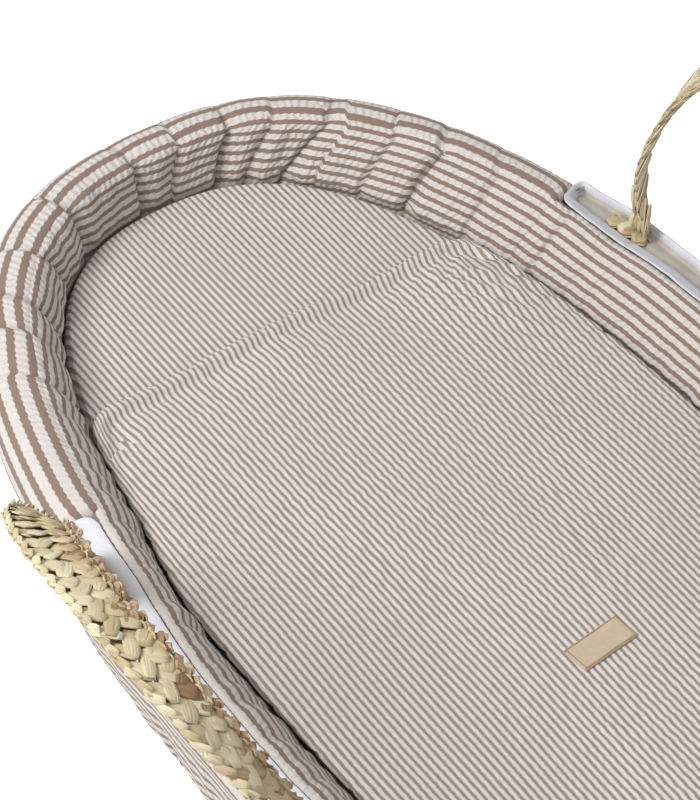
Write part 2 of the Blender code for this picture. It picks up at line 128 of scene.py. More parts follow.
RIM = Outline(0.410, 0.2075, 2.5)
BED = Outline(0.380, 0.165, 2.45, -0.0075, math.radians(1.2))
CREST = 0.173
WALL_BOTTOM, WALL_TOP, WALL_FLARE = 0.001, 0.146, 0.30
SLOT_HALF_LENGTH, SLOT_END = 0.1938, 0.011
ROOT_REACH = 0.024
PINCH_START, PINCH_RAMP = 0.016, 0.085
LEAN_HALF_LENGTH, LEAN_RAMP = 0.225, 0.110
TAIL_REACH, TAIL_RAMP = 0.064, 0.028


def wall_face(height: np.ndarray) -> np.ndarray:
    """Offset of the palm wall's outer face at a height."""
    return 0.011 + (height - WALL_TOP) * WALL_FLARE


def rim_angle(x: np.ndarray, side: Side) -> np.ndarray:
    """Angle of the rim at a place along the basket on one of its sides."""
    share = np.asarray(x, float) / RIM.half_length
    return side.value * np.arccos(np.sign(share) * np.abs(share) ** (RIM.power / 2))


def beside(angles: np.ndarray, value: str) -> np.ndarray:
    """A value of the handle on whose side each angle of the rim lies."""
    far, near = getattr(HANDLES[Side.FAR], value), getattr(HANDLES[Side.NEAR], value)
    return np.where(np.sin(angles) > 0, far, near)


def past_slot(angles: np.ndarray) -> np.ndarray:
    """Distance along the basket from the middle of the handle slot on each angle's side."""
    return np.abs(RIM.place(0.0, 0.0, angles)[..., 0] - beside(angles, "slot_centre"))


def past_root(angles: np.ndarray) -> np.ndarray:
    """Distance along the basket past the nearest root of a strap, below 0 between the roots."""
    x = RIM.place(0.0, 0.0, angles)[..., 0]
    return np.abs(x - beside(angles, "centre")) - beside(angles, "half_span")


def slot_share(angles: np.ndarray) -> np.ndarray:
    """How far the rim is open for a handle at each angle, from 0 to 1."""
    return smooth((SLOT_HALF_LENGTH - past_slot(angles)) / SLOT_END)


def root_share(angles: np.ndarray) -> np.ndarray:
    """How near each angle is to the root of a strap, from 0 to 1."""
    return np.exp(-((past_root(angles) / ROOT_REACH) ** 2))


def pinch_share(angles: np.ndarray) -> np.ndarray:
    """How far the near slot's lips are drawn together at each angle, from 0 to 1."""
    between = smooth((-past_root(angles) - PINCH_START) / PINCH_RAMP)
    return np.where(np.sin(angles) < 0, between, 0.0)


def near_share(angles: np.ndarray) -> np.ndarray:
    """How far the near side's padding leans outwards at each angle, from 0 to 1."""
    along = smooth((LEAN_HALF_LENGTH - past_slot(angles)) / LEAN_RAMP)
    return np.where(np.sin(angles) < 0, along, 0.0)


def lip_share(angles: np.ndarray) -> np.ndarray:
    """How far the near slot's inner lip leans outwards at each angle, from 0 to 1."""
    leaning = 0.42 * near_share(angles) * (1 - 0.85 * root_share(angles))
    return pinch_share(angles) + (1 - pinch_share(angles)) * leaning


def mixed(first: list, second: list, share: np.ndarray) -> np.ndarray:
    """Points between two lists of points, from the first at share 0 to the second at share 1."""
    return np.array(first)[None] * (1 - share) + np.array(second)[None] * share


def smooth(value: np.ndarray) -> np.ndarray:
    """Ease from 0 to 1."""
    value = np.clip(value, 0.0, 1.0)
    return value * value * (3 - 2 * value)


def through_points(points: np.ndarray, places: np.ndarray, closed: bool) -> np.ndarray:
    """Points on smooth curves through rows of control points.

    Args:
        points: Control points, shaped (rows, controls, 3).
        places: Where to sample, counted in controls from the first.
        closed: Whether the last control leads back to the first.

    Returns:
        Samples, shaped (rows, places, 3).
    """
    count = points.shape[1]
    first = np.floor(places).astype(int)
    u = (places - first)[None, :, None]
    picks = []
    for step in (-1, 0, 1, 2):
        index = first + step
        picks.append(points[:, index % count if closed else np.clip(index, 0, count - 1)])
    a, b, c, d = picks
    return 0.5 * (
        2 * b + (c - a) * u + (2 * a - 5 * b + 4 * c - d) * u**2 + (3 * b - a - 3 * c + d) * u**3
    )


def waves(along: np.ndarray, lengths: list[float], seed: int) -> np.ndarray:
    """Sum of smooth waves with random phases, between about -1 and 1.

    Args:
        along: Distance in metres.
        lengths: Wavelengths in metres.
        seed: Seed of the phases.

    Returns:
        The sum at each distance.
    """
    rng = np.random.default_rng(seed)
    total = 0.0
    for length in lengths:
        total = total + np.sin(TAU * along / length + rng.uniform(0, TAU))
    return total / math.sqrt(len(lengths)) / 1.3


def grid_normals(points: np.ndarray, around: bool, ring: bool) -> np.ndarray:
    """Unit normals of a grid of points.

    Args:
        points: Grid, shaped (rows, columns, 3).
        around: Whether the last row joins the first.
        ring: Whether the last column joins the first.

    Returns:
        Normals shaped as the grid, along rows crossed with columns.
    """
    slopes = []
    for axis, closed in ((0, around), (1, ring)):
        if closed:
            slopes.append(np.roll(points, -1, axis) - np.roll(points, 1, axis))
        else:
            slopes.append(np.gradient(points, axis=axis))
    normal = np.cross(slopes[0], slopes[1])
    return normal / np.maximum(np.linalg.norm(normal, axis=-1, keepdims=True), 1e-12)


# ---------------------------------------------------------------- meshes


def link(name: str, mesh: bpy.types.Mesh) -> bpy.types.Object:
    """Put a mesh in the scene as an object at the origin."""
    obj = bpy.data.objects.new(name, mesh)
    bpy.context.scene.collection.objects.link(obj)
    return obj


def grid_object(
    name: str,
    points: np.ndarray,
    uv: np.ndarray,
    around: bool = False,
    ring: bool = False,
    poles: bool = False,
) -> bpy.types.Object:
    """Smooth mesh made of a grid of quads.

    Args:
        name: Name of the object.
        points: Grid, shaped (rows, columns, 3).
        uv: Flat places in metres, with one more row if around and one more column if ring.
        around: Whether the last row joins the first.
        ring: Whether the last column joins the first.
        poles: Whether the first and the last column each close on a point.

    Returns:
        The object, with its flat places in a UV map.
    """
    rows, columns = points.shape[:2]
    i, j = np.meshgrid(
        np.arange(rows if around else rows - 1),
        np.arange(columns if ring else columns - 1),
        indexing="ij",
    )
    i, j = i.ravel(), j.ravel()
    corners = [(i, j), (i + 1, j), (i + 1, j + 1), (i, j + 1)]
    faces = np.stack([(a % rows) * columns + b % columns for a, b in corners], 1)
    flat = np.stack([uv[a, b] for a, b in corners], 1).reshape(-1, 2)
    vertices = points.reshape(-1, 3)
    fans: list[list[int]] = []
    fan_uv: list[np.ndarray] = []
    if poles:
        for column, order in ((0, (1, 0)), (columns - 1, (0, 1))):
            tip = len(vertices)
            vertices = np.concatenate([vertices, points[:, column].mean(0, keepdims=True)])
            for row in range(rows):
                ends = [(row + step) % rows * columns + column for step in order]
                fans.append([*ends, tip])
                fan_uv += [uv[row + order[0], column], uv[row + order[1], column]]
                fan_uv.append(uv[:-1, column].mean(0))
    mesh = bpy.data.meshes.new(name)
    mesh.from_pydata(vertices.tolist(), [], faces.tolist() + fans)
    layer = mesh.uv_layers.new(name="UVMap")
    every = np.concatenate([flat, np.array(fan_uv).reshape(-1, 2)])
    layer.data.foreach_set("uv", every.astype(np.float32).ravel())
    mesh.shade_smooth()
    return link(name, mesh)


def face_outwards(obj: bpy.types.Object) -> None:
    """Turn the faces of a closed mesh outwards."""
    work = bmesh.new()
    work.from_mesh(obj.data)
    bmesh.ops.recalc_face_normals(work, faces=work.faces)
    work.to_mesh(obj.data)
    work.free()


def subdivided(obj: bpy.types.Object) -> bpy.types.Object:
    """Apply one level of subdivision surface to an object, and give the object back."""
    modifier = obj.modifiers.new("Smooth", "SUBSURF")
    modifier.levels = modifier.render_levels = 1
    return applied(obj)


def applied(obj: bpy.types.Object) -> bpy.types.Object:
    """Bake an object's modifiers into its mesh and remove them."""
    graph = bpy.context.evaluated_depsgraph_get()
    mesh = bpy.data.meshes.new_from_object(obj.evaluated_get(graph))
    mesh.name = obj.name
    obj.modifiers.clear()
    old, obj.data = obj.data, mesh
    bpy.data.meshes.remove(old)
    return obj


def coordinates(mesh: bpy.types.Mesh) -> np.ndarray:
    """Places of a mesh's vertices."""
    places = np.empty(len(mesh.vertices) * 3, np.float32)
    mesh.vertices.foreach_get("co", places)
    return places.reshape(-1, 3).astype(float)


@dataclass
class Padding:
    """Wadding that swells a cloth skin, found by cloth simulation."""

    pressure: float
    most: float
    growth: float
    steps: int = 16

    def swell(self, obj: bpy.types.Object, held: np.ndarray) -> None:
        """Swell a mesh and leave the result in it.

        Args:
            obj: Closed mesh object.
            held: How firmly each vertex is held, from 0 to 1.
        """
        before = coordinates(obj.data)
        group = obj.vertex_groups.new(name="held")
        for level in np.unique(np.round(held, 1)):
            members = np.flatnonzero(np.round(held, 1) == level)
            if level > 0:
                group.add(members.tolist(), float(level), "REPLACE")
        cloth = obj.modifiers.new("Swell", "CLOTH")
        settings = cloth.settings
        settings.quality = 4
        settings.mass = 0.15
        settings.tension_stiffness = settings.compression_stiffness = 12
        settings.shear_stiffness = 6
        settings.bending_stiffness = 0.3
        settings.air_damping = 4
        settings.use_pressure = True
        settings.uniform_pressure_force = self.pressure
        settings.shrink_min = -self.growth
        settings.vertex_group_mass = group.name
        settings.effector_weights.gravity = 0
        cloth.collision_settings.use_collision = False
        cloth.point_cache.frame_end = self.steps
        scene = bpy.context.scene
        for step in range(1, self.steps + 1):
            scene.frame_set(step)
        graph = bpy.context.evaluated_depsgraph_get()
        after = coordinates(obj.evaluated_get(graph).data)
        obj.modifiers.clear()
        obj.vertex_groups.clear()
        move = np.nan_to_num(after - before)
        length = np.linalg.norm(move, axis=1, keepdims=True)
        move *= np.tanh(length / self.most) * self.most / np.maximum(length, 1e-9)
        obj.data.vertices.foreach_set("co", (before + move).astype(np.float32).ravel())
        obj.data.update()
        scene.frame_set(1)
        LOG.info("%s swelled by %.1f mm at most", obj.name, 1000 * float(length.max()))


# ---------------------------------------------------------------- node trees


@dataclass
class Wiring:
    """Helper that adds nodes to a tree and joins them."""

    tree: bpy.types.NodeTree

    def add(self, kind: str, inputs: dict | None = None, **settings: object) -> bpy.types.Node:
        """Add a node.

        Args:
            kind: Type name of the node.
            inputs: Value or output socket for each input, by name or number.
            settings: Attributes of the node.

        Returns:
            The new node.
        """
        node = self.tree.nodes.new(kind)
        for key, value in settings.items():
            setattr(node, key, value)
        for key, value in (inputs or {}).items():
            socket = node.inputs[key]
            if isinstance(value, bpy.types.NodeSocket):
                self.tree.links.new(value, socket)
            else:
                socket.default_value = value
        return node

    def join(self, source: bpy.types.NodeSocket, node: bpy.types.Node, name: str | int) -> None:
        """Join an output to a node's input."""
        self.tree.links.new(source, node.inputs[name])

    def sum(self, operation: str, *values: object) -> bpy.types.NodeSocket:
        """Result of a Math node on one, two or three values."""
        return self.add("ShaderNodeMath", dict(enumerate(values)), operation=operation).outputs[0]

    def noise(self, vector: object, scale: float, detail: float = 2.0) -> bpy.types.NodeSocket:
        """Noise between 0 and 1 at a place."""
        inputs = {"Vector": vector, "Scale": scale, "Detail": detail}
        return self.add("ShaderNodeTexNoise", inputs).outputs[0]

    def vector(self, x: object, y: object, z: object) -> bpy.types.NodeSocket:
        """Vector of three values."""
        return self.add("ShaderNodeCombineXYZ", {0: x, 1: y, 2: z}).outputs[0]

    def ease(self, value: object, start: object, end: object) -> bpy.types.NodeSocket:
        """Value eased from 0 at start to 1 at end."""
        inputs = {0: value, 1: start, 2: end, 3: 0.0, 4: 1.0}
        node = self.add("ShaderNodeMapRange", inputs, interpolation_type="SMOOTHSTEP")
        return node.outputs[0]

    def between(self, share: object, first: object, second: object) -> bpy.types.NodeSocket:
        """Colour between two colours."""
        node = self.add("ShaderNodeMix", data_type="RGBA")
        for index, value in ((0, share), (6, first), (7, second)):
            if isinstance(value, bpy.types.NodeSocket):
                self.tree.links.new(value, node.inputs[index])
            else:
                node.inputs[index].default_value = value
        return node.outputs[2]


def linear(red: int, green: int, blue: int) -> tuple[float, float, float, float]:
    """Linear colour of an sRGB colour given in steps of 255."""
    parts = [v / 255 for v in (red, green, blue)]
    lit = [p / 12.92 if p <= 0.04045 else ((p + 0.055) / 1.055) ** 2.4 for p in parts]
    return (*lit, 1.0)


def group(
    name: str, inputs: list[tuple[str, str, object]], outputs: list[tuple[str, str]]
) -> tuple[Wiring, bpy.types.Node, bpy.types.Node]:
    """Start a shader node group.

    Args:
        name: Name of the group.
        inputs: Name, socket type and default value of each input.
        outputs: Name and socket type of each output.

    Returns:
        The wiring, and the group's input and output nodes.
    """
    tree = bpy.data.node_groups.new(name, "ShaderNodeTree")
    for label, kind, value in inputs:
        socket = tree.interface.new_socket(label, in_out="INPUT", socket_type=f"NodeSocket{kind}")
        socket.default_value = value
    for label, kind in outputs:
        tree.interface.new_socket(label, in_out="OUTPUT", socket_type=f"NodeSocket{kind}")
    wires = Wiring(tree)
    return wires, wires.add("NodeGroupInput"), wires.add("NodeGroupOutput")


def weave_group() -> bpy.types.NodeTree:
    """Group of a plain cotton weave: uneven threads, slubs and a little dust of colour."""
    wires, given, out = group(
        "Cotton weave",
        [("Vector", "Vector", (0, 0, 0)), ("Thread", "Float", 0.0007), ("Seed", "Float", 0.0)],
        [("Height", "Float"), ("Shade", "Float")],
    )
    parts = wires.add("ShaderNodeSeparateXYZ", {0: given.outputs["Vector"]})
    fine = wires.sum("DIVIDE", 1.0, given.outputs["Thread"])
    along = wires.sum("MULTIPLY", parts.outputs[0], fine)
    across = wires.sum("MULTIPLY", parts.outputs[1], fine)
    seed = given.outputs["Seed"]
    warp = wires.noise(wires.vector(wires.sum("MULTIPLY", along, 0.12), across, seed), 1.0, 1.0)
    weft = wires.noise(wires.vector(along, wires.sum("MULTIPLY", across, 0.12), seed), 1.0, 1.0)
    threads = wires.sum("ADD", warp, weft)
    wires.join(threads, out, "Height")
    shade = wires.sum("MULTIPLY_ADD", wires.sum("SUBTRACT", threads, 1.0), 0.22, 1.0)
    wires.join(shade, out, "Shade")
    return wires.tree


def stripe_group() -> bpy.types.NodeTree:
    """Group of a woven stripe whose pale bands pucker across, as in seersucker."""
    wires, given, out = group(
        "Puckered stripe",
        [
            ("Along", "Float", 0.0),
            ("Across", "Float", 0.0),
            ("Period", "Float", 0.011),
            ("Dark Share", "Float", 0.42),
            ("Wander", "Float", 0.0006),
            ("Pucker", "Float", 0.0045),
            ("Pucker Height", "Float", 0.0004),
        ],
        [("Dark", "Float"), ("Height", "Float")],
    )
    along, across = given.outputs["Along"], given.outputs["Across"]
    period, wander = given.outputs["Period"], given.outputs["Wander"]
    row = wires.sum("FLOOR", wires.sum("DIVIDE", across, period))
    beat = wires.sum("DIVIDE", along, given.outputs["Pucker"])
    slip = wires.noise(
        wires.vector(wires.sum("MULTIPLY", beat, 0.31), wires.sum("MULTIPLY", row, 5.37), 0.0), 1.0
    )
    turn = wires.sum("MULTIPLY_ADD", slip, 9.0, wires.sum("MULTIPLY", beat, TAU))
    ripple = wires.sum("SINE", turn)
    drift = wires.noise(wires.vector(wires.sum("MULTIPLY", along, 45.0), across, 3.1), 1.0)
    moved = wires.sum("MULTIPLY_ADD", wires.sum("SUBTRACT", drift, 0.5), 2.5, ripple)
    shifted = wires.sum("MULTIPLY_ADD", moved, wires.sum("MULTIPLY", wander, 0.5), across)
    phase = wires.sum("FRACT", wires.sum("DIVIDE", shifted, period))
    away = wires.sum("ABSOLUTE", wires.sum("SUBTRACT", phase, 0.5))
    edge = wires.sum("MULTIPLY", given.outputs["Dark Share"], 0.5)
    pale = wires.ease(away, wires.sum("SUBTRACT", edge, 0.035), wires.sum("ADD", edge, 0.035))
    wires.join(wires.sum("SUBTRACT", 1.0, pale), out, "Dark")
    strong = wires.noise(wires.vector(wires.sum("MULTIPLY", along, 70.0), row, 8.8), 1.0)
    lift = wires.sum("MULTIPLY", wires.sum("MULTIPLY_ADD", strong, 1.4, 0.1), ripple)
    lift = wires.sum("MULTIPLY", wires.sum("MULTIPLY", lift, pale), given.outputs["Pucker Height"])
    wires.join(lift, out, "Height")
    return wires.tree


def palm_group() -> bpy.types.NodeTree:
    """Group of dried palm leaf: fine veins along it, mottled shade, brown scorch and green tint."""
    wires, given, out = group(
        "Dried palm leaf",
        [
            ("Vector", "Vector", (0, 0, 0)),
            ("Tone", "Float", 0.5),
            ("Veins", "Float", 9.0),
            ("Light", "Color", linear(212, 203, 166)),
            ("Mid", "Color", linear(188, 174, 132)),
            ("Dark", "Color", linear(140, 112, 80)),
        ],
        [("Color", "Color"), ("Height", "Float")],
    )
    parts = wires.add("ShaderNodeSeparateXYZ", {0: given.outputs["Vector"]})
    tone = given.outputs["Tone"]
    lane = wires.sum("MULTIPLY_ADD", tone, 57.0, parts.outputs[2])
    across = wires.sum("MULTIPLY", parts.outputs[1], given.outputs["Veins"])
    along = wires.sum("MULTIPLY", parts.outputs[0], 0.9)
    veins = wires.noise(wires.vector(along, across, lane), 1.0, 3.0)
    patches = wires.noise(wires.vector(parts.outputs[0], parts.outputs[1], lane), 1.7, 3.0)
    level = wires.sum("MULTIPLY_ADD", wires.sum("SUBTRACT", veins, 0.5), 0.9, tone)
    level = wires.sum("MULTIPLY_ADD", wires.sum("SUBTRACT", patches, 0.5), 0.5, level)
    pale = wires.between(wires.ease(level, 0.0, 0.75), given.outputs["Light"], given.outputs["Mid"])
    darkened = wires.between(wires.ease(level, 0.72, 1.25), pale, given.outputs["Dark"])
    speck = wires.ease(wires.noise(wires.vector(parts.outputs[0], across, lane), 3.1), 0.70, 0.78)
    colour = wires.between(wires.sum("MULTIPLY", speck, 0.5), darkened, given.outputs["Dark"])
    wires.join(colour, out, "Color")
    wires.join(wires.sum("MULTIPLY_ADD", patches, 0.5, veins), out, "Height")
    return wires.tree


@dataclass(frozen=True)
class Groups:
    """The shader node groups that the finishes share."""

    weave: bpy.types.NodeTree
    stripe: bpy.types.NodeTree
    palm: bpy.types.NodeTree


GROUPS = Groups(weave_group(), stripe_group(), palm_group())


# ---------------------------------------------------------------- finishes

# Repeats of the two stripes, in metres.
LINER_STRIPE = 0.0112
BEDDING_STRIPE = 0.00413


def blank_material(
    name: str, roughness: float
) -> tuple[bpy.types.Material, Wiring, bpy.types.Node]:
    """New material with a Principled shader.

    Args:
        name: Name of the material.
        roughness: Roughness of the whole surface.

    Returns:
        The material, its wiring and its shader.
    """
    made = bpy.data.materials.new(name)
    made.use_nodes = True
    wires = Wiring(made.node_tree)
    shader = made.node_tree.nodes["Principled BSDF"]
    shader.inputs["Roughness"].default_value = roughness
    return made, wires, shader


def give_relief(wires: Wiring, shader: bpy.types.Node, height: object, strength: float) -> None:
    """Join a height in metres to a shader's normal through a Bump node."""
    inputs = {"Height": height, "Strength": strength, "Distance": 1.0}
    bump = wires.add("ShaderNodeBump", inputs)
    wires.join(bump.outputs[0], shader, "Normal")


@dataclass(frozen=True)
class StripedCotton:
    """Cotton woven in taupe and cream stripes, read from the cloth's flat places, with painted
    shade in the creases of its tucks.
    """

    name: str
    period: float
    dark_share: float
    wander: float
    pucker: float
    pucker_height: float
    cream: tuple = linear(213, 206, 199)
    taupe: tuple = linear(139, 120, 109)

    def material(self) -> bpy.types.Material:
        """Build the material."""
        made, wires, shader = blank_material(self.name, 0.92)
        flat = wires.add("ShaderNodeUVMap", uv_map="UVMap").outputs[0]
        parts = wires.add("ShaderNodeSeparateXYZ", {0: flat})
        stripe = wires.add("ShaderNodeGroup", node_tree=GROUPS.stripe)
        values = {
            "Period": self.period,
            "Dark Share": self.dark_share,
            "Wander": self.wander,
            "Pucker": self.pucker,
            "Pucker Height": self.pucker_height,
        }
        for key, value in values.items():
            stripe.inputs[key].default_value = value
        wires.join(parts.outputs[0], stripe, "Along")
        wires.join(parts.outputs[1], stripe, "Across")
        weave = wires.add("ShaderNodeGroup", node_tree=GROUPS.weave)
        wires.join(flat, weave, "Vector")
        colour = wires.between(stripe.outputs["Dark"], self.cream, self.taupe)
        shade = wires.add("ShaderNodeCombineColor", {i: weave.outputs["Shade"] for i in range(3)})
        mixed = wires.add("ShaderNodeMix", data_type="RGBA", blend_type="MULTIPLY")
        mixed.inputs[0].default_value = 1.0
        wires.join(colour, mixed, 6)
        wires.join(shade.outputs[0], mixed, 7)
        # Painted shade: the vertex mark 'crease' mixes the cloth towards a dark brownish colour
        # along the tucks' creases.
        crease = wires.add("ShaderNodeAttribute", attribute_name="crease").outputs["Fac"]
        shaded = wires.between(
            wires.sum("MULTIPLY", crease, 0.62), mixed.outputs[2], linear(84, 68, 58)
        )
        wires.join(shaded, shader, "Base Color")
        height = wires.sum(
            "MULTIPLY_ADD", weave.outputs["Height"], 0.00010, stripe.outputs["Height"]
        )
        give_relief(wires, shader, height, 1.0)
        shader.inputs["Sheen Weight"].default_value = 0.12
        shader.inputs["Specular IOR Level"].default_value = 0.2
        return made


@dataclass(frozen=True)
class PlainCotton:
    """Plain cotton of one hue, with its weave and soft creases, painted lighter on the creases'
    ridges and darker in their hollows as painted shade.
    """

    name: str
    light: tuple
    dark: tuple
    crease: float = 0.0006

    def material(self) -> bpy.types.Material:
        """Build the material."""
        made, wires, shader = blank_material(self.name, 0.92)
        place = wires.add("ShaderNodeTexCoord").outputs["Object"]
        weave = wires.add("ShaderNodeGroup", node_tree=GROUPS.weave)
        wires.join(place, weave, "Vector")
        folds = wires.noise(place, 60.0, 3.0)
        folds = wires.sum("MULTIPLY", folds, 0.8)
        share = wires.sum("MULTIPLY_ADD", weave.outputs["Height"], 0.25, folds)
        share = wires.ease(share, 0.35, 1.0)
        # Painted shade: the colour runs from dark in the folds' hollows to light on their ridges,
        # mixed a little with the weave's threads.
        colour = wires.between(share, self.dark, self.light)
        seam = wires.add("ShaderNodeAttribute", attribute_name="crease").outputs["Fac"]
        colour = wires.between(seam, colour, linear(150, 146, 150))
        wires.join(colour, shader, "Base Color")
        height = wires.sum(
            "MULTIPLY_ADD",
            weave.outputs["Height"],
            0.00010,
            wires.sum("MULTIPLY", folds, self.crease),
        )
        give_relief(wires, shader, height, 1.0)
        shader.inputs["Sheen Weight"].default_value = 0.1
        shader.inputs["Specular IOR Level"].default_value = 0.2
        return made


@dataclass(frozen=True)
class Palm:
    """Dried palm leaf, on single strands with a map of their own or on a plain body."""

    name: str
    strands: bool = True
    light: tuple = linear(224, 214, 182)
    mid: tuple = linear(194, 177, 140)
    dark: tuple = linear(138, 106, 76)
    relief: float = 0.0006

    def material(self) -> bpy.types.Material:
        """Build the material."""
        made, wires, shader = blank_material(self.name, 0.62)
        leaf = wires.add("ShaderNodeGroup", node_tree=GROUPS.palm)
        for key, value in (("Light", self.light), ("Mid", self.mid), ("Dark", self.dark)):
            leaf.inputs[key].default_value = value
        if self.strands:
            flat = wires.add("ShaderNodeUVMap", uv_map="UVMap").outputs[0]
            tone = wires.add("ShaderNodeAttribute", attribute_name="tone").outputs["Fac"]
            wires.join(flat, leaf, "Vector")
            wires.join(tone, leaf, "Tone")
        else:
            place = wires.add("ShaderNodeTexCoord").outputs["Object"]
            scaled = wires.add("ShaderNodeMapping", {"Vector": place, "Scale": (22, 22, 60)})
            wires.join(scaled.outputs[0], leaf, "Vector")
            leaf.inputs["Tone"].default_value = 0.62
        wires.join(leaf.outputs["Color"], shader, "Base Color")
        height = wires.sum("MULTIPLY", leaf.outputs["Height"], self.relief)
        give_relief(wires, shader, height, 1.0)
        shader.inputs["Specular IOR Level"].default_value = 0.35
        return made


@dataclass(frozen=True)
class CoiledPalm:
    """Palm sewn in oval coils, as on the underside of the base."""

    name: str

    def material(self) -> bpy.types.Material:
        """Build the material."""
        made, wires, shader = blank_material(self.name, 0.7)
        place = wires.add("ShaderNodeTexCoord").outputs["Object"]
        parts = wires.add("ShaderNodeSeparateXYZ", {0: place})
        squares = []
        for axis, half in ((0, RIM.half_length - 0.04), (1, RIM.half_width - 0.04)):
            share = wires.sum("DIVIDE", wires.sum("ABSOLUTE", parts.outputs[axis]), half)
            squares.append(wires.sum("POWER", share, RIM.power))
        share = wires.sum("POWER", wires.sum("ADD", *squares), 1 / RIM.power)
        coil = wires.sum("MULTIPLY", share, 14.0)
        ridge = wires.sum("ABSOLUTE", wires.sum("SINE", wires.sum("MULTIPLY", coil, math.pi)))
        around = wires.sum("ARCTAN2", parts.outputs[1], parts.outputs[0])
        lead = wires.sum("MULTIPLY", coil, TAU)
        stitch = wires.sum("SINE", wires.sum("MULTIPLY_ADD", around, 150.0, lead))
        leaf = wires.add("ShaderNodeGroup", node_tree=GROUPS.palm)
        wires.join(wires.vector(wires.sum("MULTIPLY", around, 20.0), coil, 0.0), leaf, "Vector")
        wires.join(wires.sum("MULTIPLY_ADD", stitch, 0.12, 0.5), leaf, "Tone")
        wires.join(leaf.outputs["Color"], shader, "Base Color")
        height = wires.sum("MULTIPLY_ADD", stitch, 0.18, ridge)
        give_relief(wires, shader, wires.sum("MULTIPLY", height, 0.0022), 1.0)
        return made


@dataclass
class Finishes:
    """Every finish of the basket, built once."""

    bumper: bpy.types.Material = field(init=False)
    skirt: bpy.types.Material = field(init=False)
    bedding: bpy.types.Material = field(init=False)
    tape: bpy.types.Material = field(init=False)
    lining: bpy.types.Material = field(init=False)
    foam: bpy.types.Material = field(init=False)
    label: bpy.types.Material = field(init=False)
    thread: bpy.types.Material = field(init=False)
    strand: bpy.types.Material = field(init=False)
    edging: bpy.types.Material = field(init=False)
    plain_palm: bpy.types.Material = field(init=False)
    coils: bpy.types.Material = field(init=False)

    def __post_init__(self) -> None:
        """Build the materials."""
        liner = {"period": LINER_STRIPE, "dark_share": 0.43, "wander": 0.0005, "pucker": 0.0052}
        self.bumper = StripedCotton("bumper stripe", **liner, pucker_height=0.00042).material()
        self.skirt = StripedCotton("skirt stripe", **liner, pucker_height=0.00036).material()
        self.bedding = StripedCotton(
            "bedding stripe",
            period=BEDDING_STRIPE,
            dark_share=0.47,
            wander=0.00010,
            pucker=0.0050,
            pucker_height=0.00006,
            cream=linear(217, 212, 208),
            taupe=linear(151, 137, 128),
        ).material()
        self.tape = PlainCotton(
            "white tape", linear(226, 226, 230), linear(208, 208, 216)
        ).material()
        self.lining = PlainCotton(
            "grey lining", linear(196, 189, 180), linear(178, 170, 161)
        ).material()
        self.foam = PlainCotton(
            "foam", linear(240, 236, 222), linear(228, 222, 204), 0.0002
        ).material()
        self.label = PlainCotton(
            "label cloth", linear(204, 187, 163), linear(186, 168, 144)
        ).material()
        self.thread = PlainCotton(
            "label thread", linear(186, 160, 110), linear(160, 134, 88)
        ).material()
        self.strand = Palm("palm strand").material()
        self.edging = Palm(
            "edge strand", True, linear(214, 192, 160), linear(186, 154, 122), linear(128, 96, 70)
        ).material()
        self.plain_palm = Palm("plain palm", False).material()
        self.coils = CoiledPalm("coiled palm").material()


# ---------------------------------------------------------------- plaiting


def strand_mesh(name: str, cells: int) -> bpy.types.Object:
    """Closed blade of palm, one unit long, wide and thick, arched with its ends tucked down.

    Args:
        name: Name of the object.
        cells: Number of cells along the blade.

    Returns:
        Object to be copied; it isn't shown itself.
    """
    along = np.linspace(-0.5, 0.5, cells + 1)
    across = np.array([-0.5, -0.33, 0.33, 0.5])
    x, y = np.meshgrid(along, across, indexing="ij")
    narrow = 1 - 0.42 * np.abs(2 * x) ** 3.2
    crown = 0.42 * (1 - (2 * y) ** 2) * (1 - 0.5 * np.abs(2 * x) ** 2) - 0.55 * (2 * x) ** 2
    top = np.stack([x, y * narrow, crown + 0.18], -1)
    low = np.stack([x, y * narrow * 0.96, crown - 0.30], -1)
    points = np.concatenate([top, low[:, ::-1]], 1)
    flat = np.concatenate([np.stack([x + 0.5, y + 0.5], -1), np.stack([x + 0.5, 0.5 - y], -1)], 1)
    flat = np.concatenate([flat, flat[:, :1]], 1)
    obj = grid_object(name, points, flat, ring=True)
    work = bmesh.new()
    work.from_mesh(obj.data)
    bmesh.ops.holes_fill(work, edges=work.edges, sides=16)
    bmesh.ops.recalc_face_normals(work, faces=work.faces)
    work.to_mesh(obj.data)
    work.free()
    obj.data.shade_smooth()
    bpy.context.scene.collection.objects.unlink(obj)
    return obj


